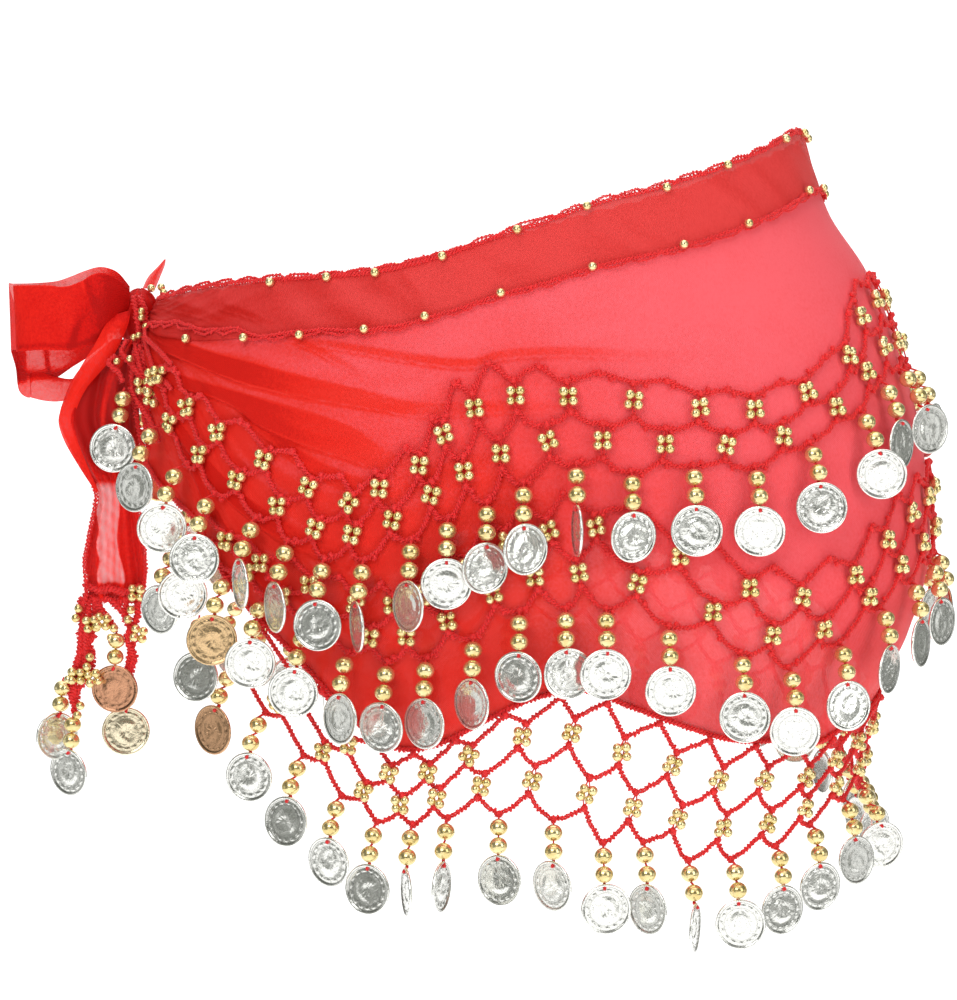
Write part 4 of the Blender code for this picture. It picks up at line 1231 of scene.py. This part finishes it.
def rear_darker(place, share, along):
    """The doubled band and fold of the lower loop, seen through its single layer."""
    if place.y < -6:
        return 0.05 * noise.noise(place * 0.2)
    deeper = 0.45 * bump_at(place.z, -63.2, 1.9) * clamp((-180 - place.x) / 4)
    deeper += 0.4 * bump_at(place.x + 0.12 * (place.z + 57), -193, 0.8) * clamp((place.z + 62.5) / 1.5)
    deeper += 0.35 * clamp((-200.6 - place.x) / 1.2) * clamp((place.z + 67) / 2)
    deeper += 0.3 * bump_at(place.x, -183, 6) * bump_at(place.z, -58 + 0.5 * (176 + place.x), 2.2)
    return deeper + 0.04 * noise.noise(place * 0.3)


def add_loop():
    """The bow's loop: out from the knot, round, and back behind itself, with a second layer inside it."""
    pile = Pile()
    add_ribbon(pile, BOW_FRONT, 40, 80, front_darker)
    add_ribbon(pile, BOW_REAR, 40, 110, rear_darker)
    add_ribbon(pile, BOW_LOWER, 14, 30, rear_darker, 0.1)
    return pile.make("bow_loop_cloth", bow_chiffon, "chiffon", ("bow_loop",))


def tail_shade(place, share):
    """Single layers are thin, the pleats between them deep."""
    x, z = place.x, place.z
    if z > -101:
        low = clamp((z + 101) / 8)
        deep = 0.9 + 0.2 * bump_at(share, 0.33, 0.1) - 0.3 * bump_at(share, 0.55 + 0.002 * (z + 80), 0.04)
        deep -= 0.5 * clamp((0.2 - share) / 0.05) * clamp((z + 90) / 4)
        return 0.66 * (1 - low) + deep * low + 0.08 * math.sin(share * 40 + z * 0.05)
    left = -170.8 + 0.5 * math.sin(z * 0.5)
    right = -162.3 - 0.045 * (z + 107) + 0.9 * math.sin(z * 0.21)
    inside = clamp((x - left) / 0.7) * clamp((right - x) / 0.7)
    inside *= clamp((-103 - z) / 3) * clamp((z + 145) / 2)
    wave = 0.07 * math.sin(x * 2.4 + 0.6 * math.sin(z * 0.35)) + 0.05 * math.sin(z * 1.1 + x)
    return 0.66 + 0.06 * math.sin(share * 17) - inside * (0.44 - wave)


def add_tail():
    """The hanging end: pleats between two ragged edges, under the smooth band that crosses from the knot."""
    pile = Pile()
    points, uv, shades = [], [], []
    rows, columns = 130, 64
    for r in range(rows + 1):
        height = TAIL_TOP + (TAIL_BOTTOM - TAIL_TOP) * r / rows
        left, right, y, pleat = row_at(TAIL_SHAPE, height)
        rough = 0.35 * noise.noise(Vector((height * 0.9, 0, 0))) if height < -104 else 0.0
        for c in range(columns + 1):
            share = c / columns
            bend = share + 0.02 * math.sin(height * 0.09)
            wave = math.cos(5 * math.pi * bend) + 0.35 * math.cos(11 * math.pi * bend + height * 0.03)
            wave = pleat / 2 * wave
            drop = 1.6 * abs(math.sin(3 * math.pi * share)) * clamp((-140 - height) / 10)
            place = Vector((left + rough + share * (right - left - rough), y + wave, height - drop))
            points.append(place)
            uv.append((share * 0.04, height * METRES))
            shades.append(clamp(tail_shade(place, share)))
    pile.add(points, grid_faces(rows + 1, columns + 1), uv, shades)
    add_ribbon(pile, BOW_CROSSING, 20, 70, lambda place, share, along: 0.12 * bump_at(share, 0.95, 0.06))
    return pile.make("tail_cloth", bow_chiffon, "chiffon", ("tail",))


def add_knot():
    """The knot: a pleated bundle, narrower in the middle."""
    pile = Pile()
    points, faces = ball(72, 44)
    centre = Vector(KNOT_CENTRE)
    shaped, shades = [], []
    for point in points:
        turn = math.atan2(point.y, point.x)
        pleat = math.cos(9 * turn + 3.4 * point.z + 0.6 * math.sin(2 * turn))
        pleat += 0.5 * math.cos(5 * turn + 2 * point.z)
        swell = 1.0 + 0.055 * pleat * (1 - point.z**2) + 0.03 * noise.noise(point * 2.2)
        waist = 0.88 + 0.12 * abs(point.z)
        x, y = point.x * KNOT_HALF[0] * swell * waist, point.y * KNOT_HALF[1] * swell * waist
        shaped.append(centre + Vector((x, y, point.z * KNOT_HALF[2] * (1 + 0.02 * pleat))))
        # Deeper colour in the pleats' hollows and lighter on their ridges: painted shade and painted light.
        shades.append(clamp(0.92 - 0.12 * pleat))
    pile.add(shaped, faces, None, shades)
    return pile.make("knot_cloth", bow_chiffon, "chiffon", ("knot",))


def add_tip():
    """The short end above the knot: a narrow pointed fold."""
    pile = Pile()
    numbered = [(n, *row) for n, row in enumerate(TIP)]
    points, uv, shades = [], [], []
    rows, columns = 24, 8
    for r in range(rows + 1):
        n = (len(TIP) - 1) * (1 - r / rows)
        x, y, height, half = row_at(numbered, n)
        for c in range(columns + 1):
            side = 2 * c / columns - 1
            points.append(Vector((x + side * half, y + abs(side) * half / 2, height)))
            uv.append((side * half * METRES, height * METRES))
            shades.append(0.5 - 0.25 * abs(side))
    pile.add(points, grid_faces(rows + 1, columns + 1), uv, shades)
    return pile.make("tie_tip_cloth", bow_chiffon, "chiffon", ("tie_tip",))


loop = add_loop()
tail = add_tail()
knot = add_knot()
tip = add_tip()

# Crochet at the end of the tie. Each chain: places across and up, at the depth of the tail
TAIL_CHAINS = (
    ((-172, -104), (-170.6, -109), (-171.6, -115), (-173, -121), (-174.4, -128), (-175.8, -135),
     (-175.4, -141), (-175, -148), (-176.5, -153)),
    ((-155.2, -106), (-154.2, -114), (-153, -122), (-152, -131), (-151.6, -139), (-152.6, -146),
     (-154.5, -152)),
    ((-176, -148), (-171.5, -151.5), (-167.5, -150), (-163.5, -152.5), (-159.5, -150), (-155, -151.5),
     (-153, -147)),
    ((-176, -144), (-171, -147), (-166, -146), (-160, -148), (-154, -145)),
    ((-177, -150), (-179, -157), (-172.5, -165), (-178.5, -173), (-181, -180), (-182.5, -187),
     (-180.5, -193)),
    ((-171, -150), (-170.5, -157), (-178.5, -164), (-173, -172), (-174.5, -180), (-179.5, -187),
     (-181, -196)),
    ((-174.5, -150), (-174.5, -158), (-176, -166), (-175.5, -175), (-178, -183)),
    ((-176.5, -150), (-177, -158), (-177.8, -166), (-178.4, -174), (-180, -182), (-181.2, -190)),
    ((-172.5, -150), (-172, -157), (-174.5, -165), (-176.5, -173), (-178.5, -179)),
    ((-171, -152), (-167, -158), (-163.5, -163)),
    ((-165, -151), (-160, -157), (-157, -163)),
    ((-159.5, -150), (-160.2, -158), (-156.5, -166), (-158.8, -174), (-159.5, -181)),
    ((-155, -150), (-155.3, -158), (-159.8, -166), (-156.3, -174), (-159, -181)),
)
TAIL_CLUSTERS = (
    (-155.4, -147.6, 4), (-158.2, -156.3, 2), (-178.8, -155.8, 2), (-173.3, -160, 4), (-168.9, -159, 4),
    (-165, -163.6, 2), (-154.6, -164, 4), (-174.7, -175.1, 2), (-179.5, -180.8, 4), (-172.8, -181.5, 4),
    (-183.2, -184, 2), (-178.6, -194.5, 2),
)
TAIL_PENDANTS = (
    (-163.2, -162.5, -2.0, 10, 1.0), (-180.8, -196, -2.4, 32, 0.0), (-185, -182, -3.2, -40, 0.0),
    (-159.5, -180, -1.2, -10, 0.3),
)


def add_tail_crochet():
    """The ragged crochet at the end of the tie, with its coins."""
    threads, small, big, coins = Pile(), Pile(), Pile(), Pile()
    out, across, down = Vector((0, -1, 0)), Vector((1, 0, 0)), Vector((0, 0, -1))
    for n, chain in enumerate(TAIL_CHAINS):
        depth = -21.5 + 0.5 * (n % 3)
        edge = n < 2
        places = [Vector((x, depth - (2.0 if edge else 0.0), z)) for x, z in chain]
        add_chain(threads, places, [out] * len(chain), 1.05 if edge else 1.7, fuzz=3)
    for n, (x, z, count) in enumerate(TAIL_CLUSTERS):
        if count == 4:
            add_four(small, Vector((x, -23.5, z)), across, down, out, n * 1.3, 2.3)
        else:
            for side in (-1, 1):
                add_ball(small, SMALL_BALL, Vector((x + side * 0.6, -23.3, z + side * 1.9)), 1.8)
    for n, (x, z, shift, turn, metal) in enumerate(TAIL_PENDANTS):
        chain = Vector((x, -22.5 if n < 2 else -18.5, z))
        places = [chain + across * (shift * drop / DROPS[-1]) + down * drop for drop in DROPS]
        add_pendant(threads, big, coins, chain, places, across, out, turn, n * 0.7, metal)
    return [
        threads.make("tail_crochet", thread, "crochet", ("tail_coins",)),
        small.make("tail_small_beads", gold, "coins"),
        big.make("tail_beads", gold, "coins"),
        coins.make("tail_coin_discs", plate, "coins"),
    ]


tail_trims = add_tail_crochet()

# Floor and light, in metres

FLOOR_HALF = 2.2
FLOOR_LEVEL = -0.95
floor_mesh = bpy.data.meshes.new("floor")
corner_sides = ((-1, -1), (1, -1), (1, 1), (-1, 1))
floor_corners = [(x * FLOOR_HALF, y * FLOOR_HALF, FLOOR_LEVEL) for x, y in corner_sides]
floor_mesh.from_pydata(floor_corners, [], [(0, 1, 2, 3)])
floor = bpy.data.objects.new("floor", floor_mesh)
scene.collection.objects.link(floor)
floor_finish, floor_tree, floor_shader = new_material("floor_white")
feed(floor_tree, floor_shader, {
    "Base Color": (0.92, 0.92, 0.93, 1.0),
    "Roughness": 0.9,
    "Emission Color": (1.0, 1.0, 1.0, 1.0),
    "Emission Strength": 0.6,
})
floor_mesh.materials.append(floor_finish)


def add_area(name, place, aim, size, power):
    """A rectangular light aimed at a point."""
    data = bpy.data.lights.new(name, "AREA")
    data.shape = "RECTANGLE"
    data.size, data.size_y = size
    data.energy = power
    light = bpy.data.objects.new(name, data)
    light.location = place
    light.rotation_euler = (Vector(aim) - Vector(place)).to_track_quat("-Z", "Y").to_euler()
    scene.collection.objects.link(light)


add_area("key", (-0.55, -1.35, 0.75), (0, 0, -0.1), (0.9, 0.9), 9)
add_area("fill", (1.1, -1.0, 0.25), (0, 0, -0.1), (0.7, 1.1), 5.5)
add_area("top", (0.0, 0.1, 1.2), (0, 0, -0.1), (1.2, 1.2), 5.5)
add_area("back", (-0.4, 1.5, 0.6), (0, 0, -0.1), (1.0, 1.0), 5)

# The room: white all round and below, with a dark part in front above eye level that the metal mirrors
world = bpy.data.worlds.new("studio")
scene.world = world
world.use_nodes = True
sky = world.node_tree
around = add_node(sky, "ShaderNodeTexCoord").outputs["Generated"]
way = add_node(sky, "ShaderNodeSeparateXYZ", {0: around}).outputs
bright = ramp_of(sky, way["Z"], ((0.0, 1.35), (0.12, 1.35), (0.2, 0.5), (0.6, 0.5), (0.8, 1.0)))
level = ramp_of(sky, way["Z"], ((0.0, 0.0), (0.05, 1.0), (0.5, 1.0), (0.62, 0.0)))
ahead = ramp_of(sky, arithmetic(sky, "MULTIPLY", way["Y"], -1.0), ((0.1, 0.0), (0.4, 1.0)))
sideways = arithmetic(sky, "ABSOLUTE", way["X"])
flank = ramp_of(sky, sideways, ((0.45, 0.0), (0.65, 0.94), (0.94, 0.94), (0.99, 0.4)))
darkness = arithmetic(sky, "MAXIMUM", arithmetic(sky, "MULTIPLY", level, ahead), flank)
room = mix_colours(sky, "MIX", darkness, bright, (0.07, 0.08, 0.06, 1.0))
feed(sky, sky.nodes["Background"], {"Color": room, "Strength": 1.0})
scene.view_settings.view_transform = "Standard"
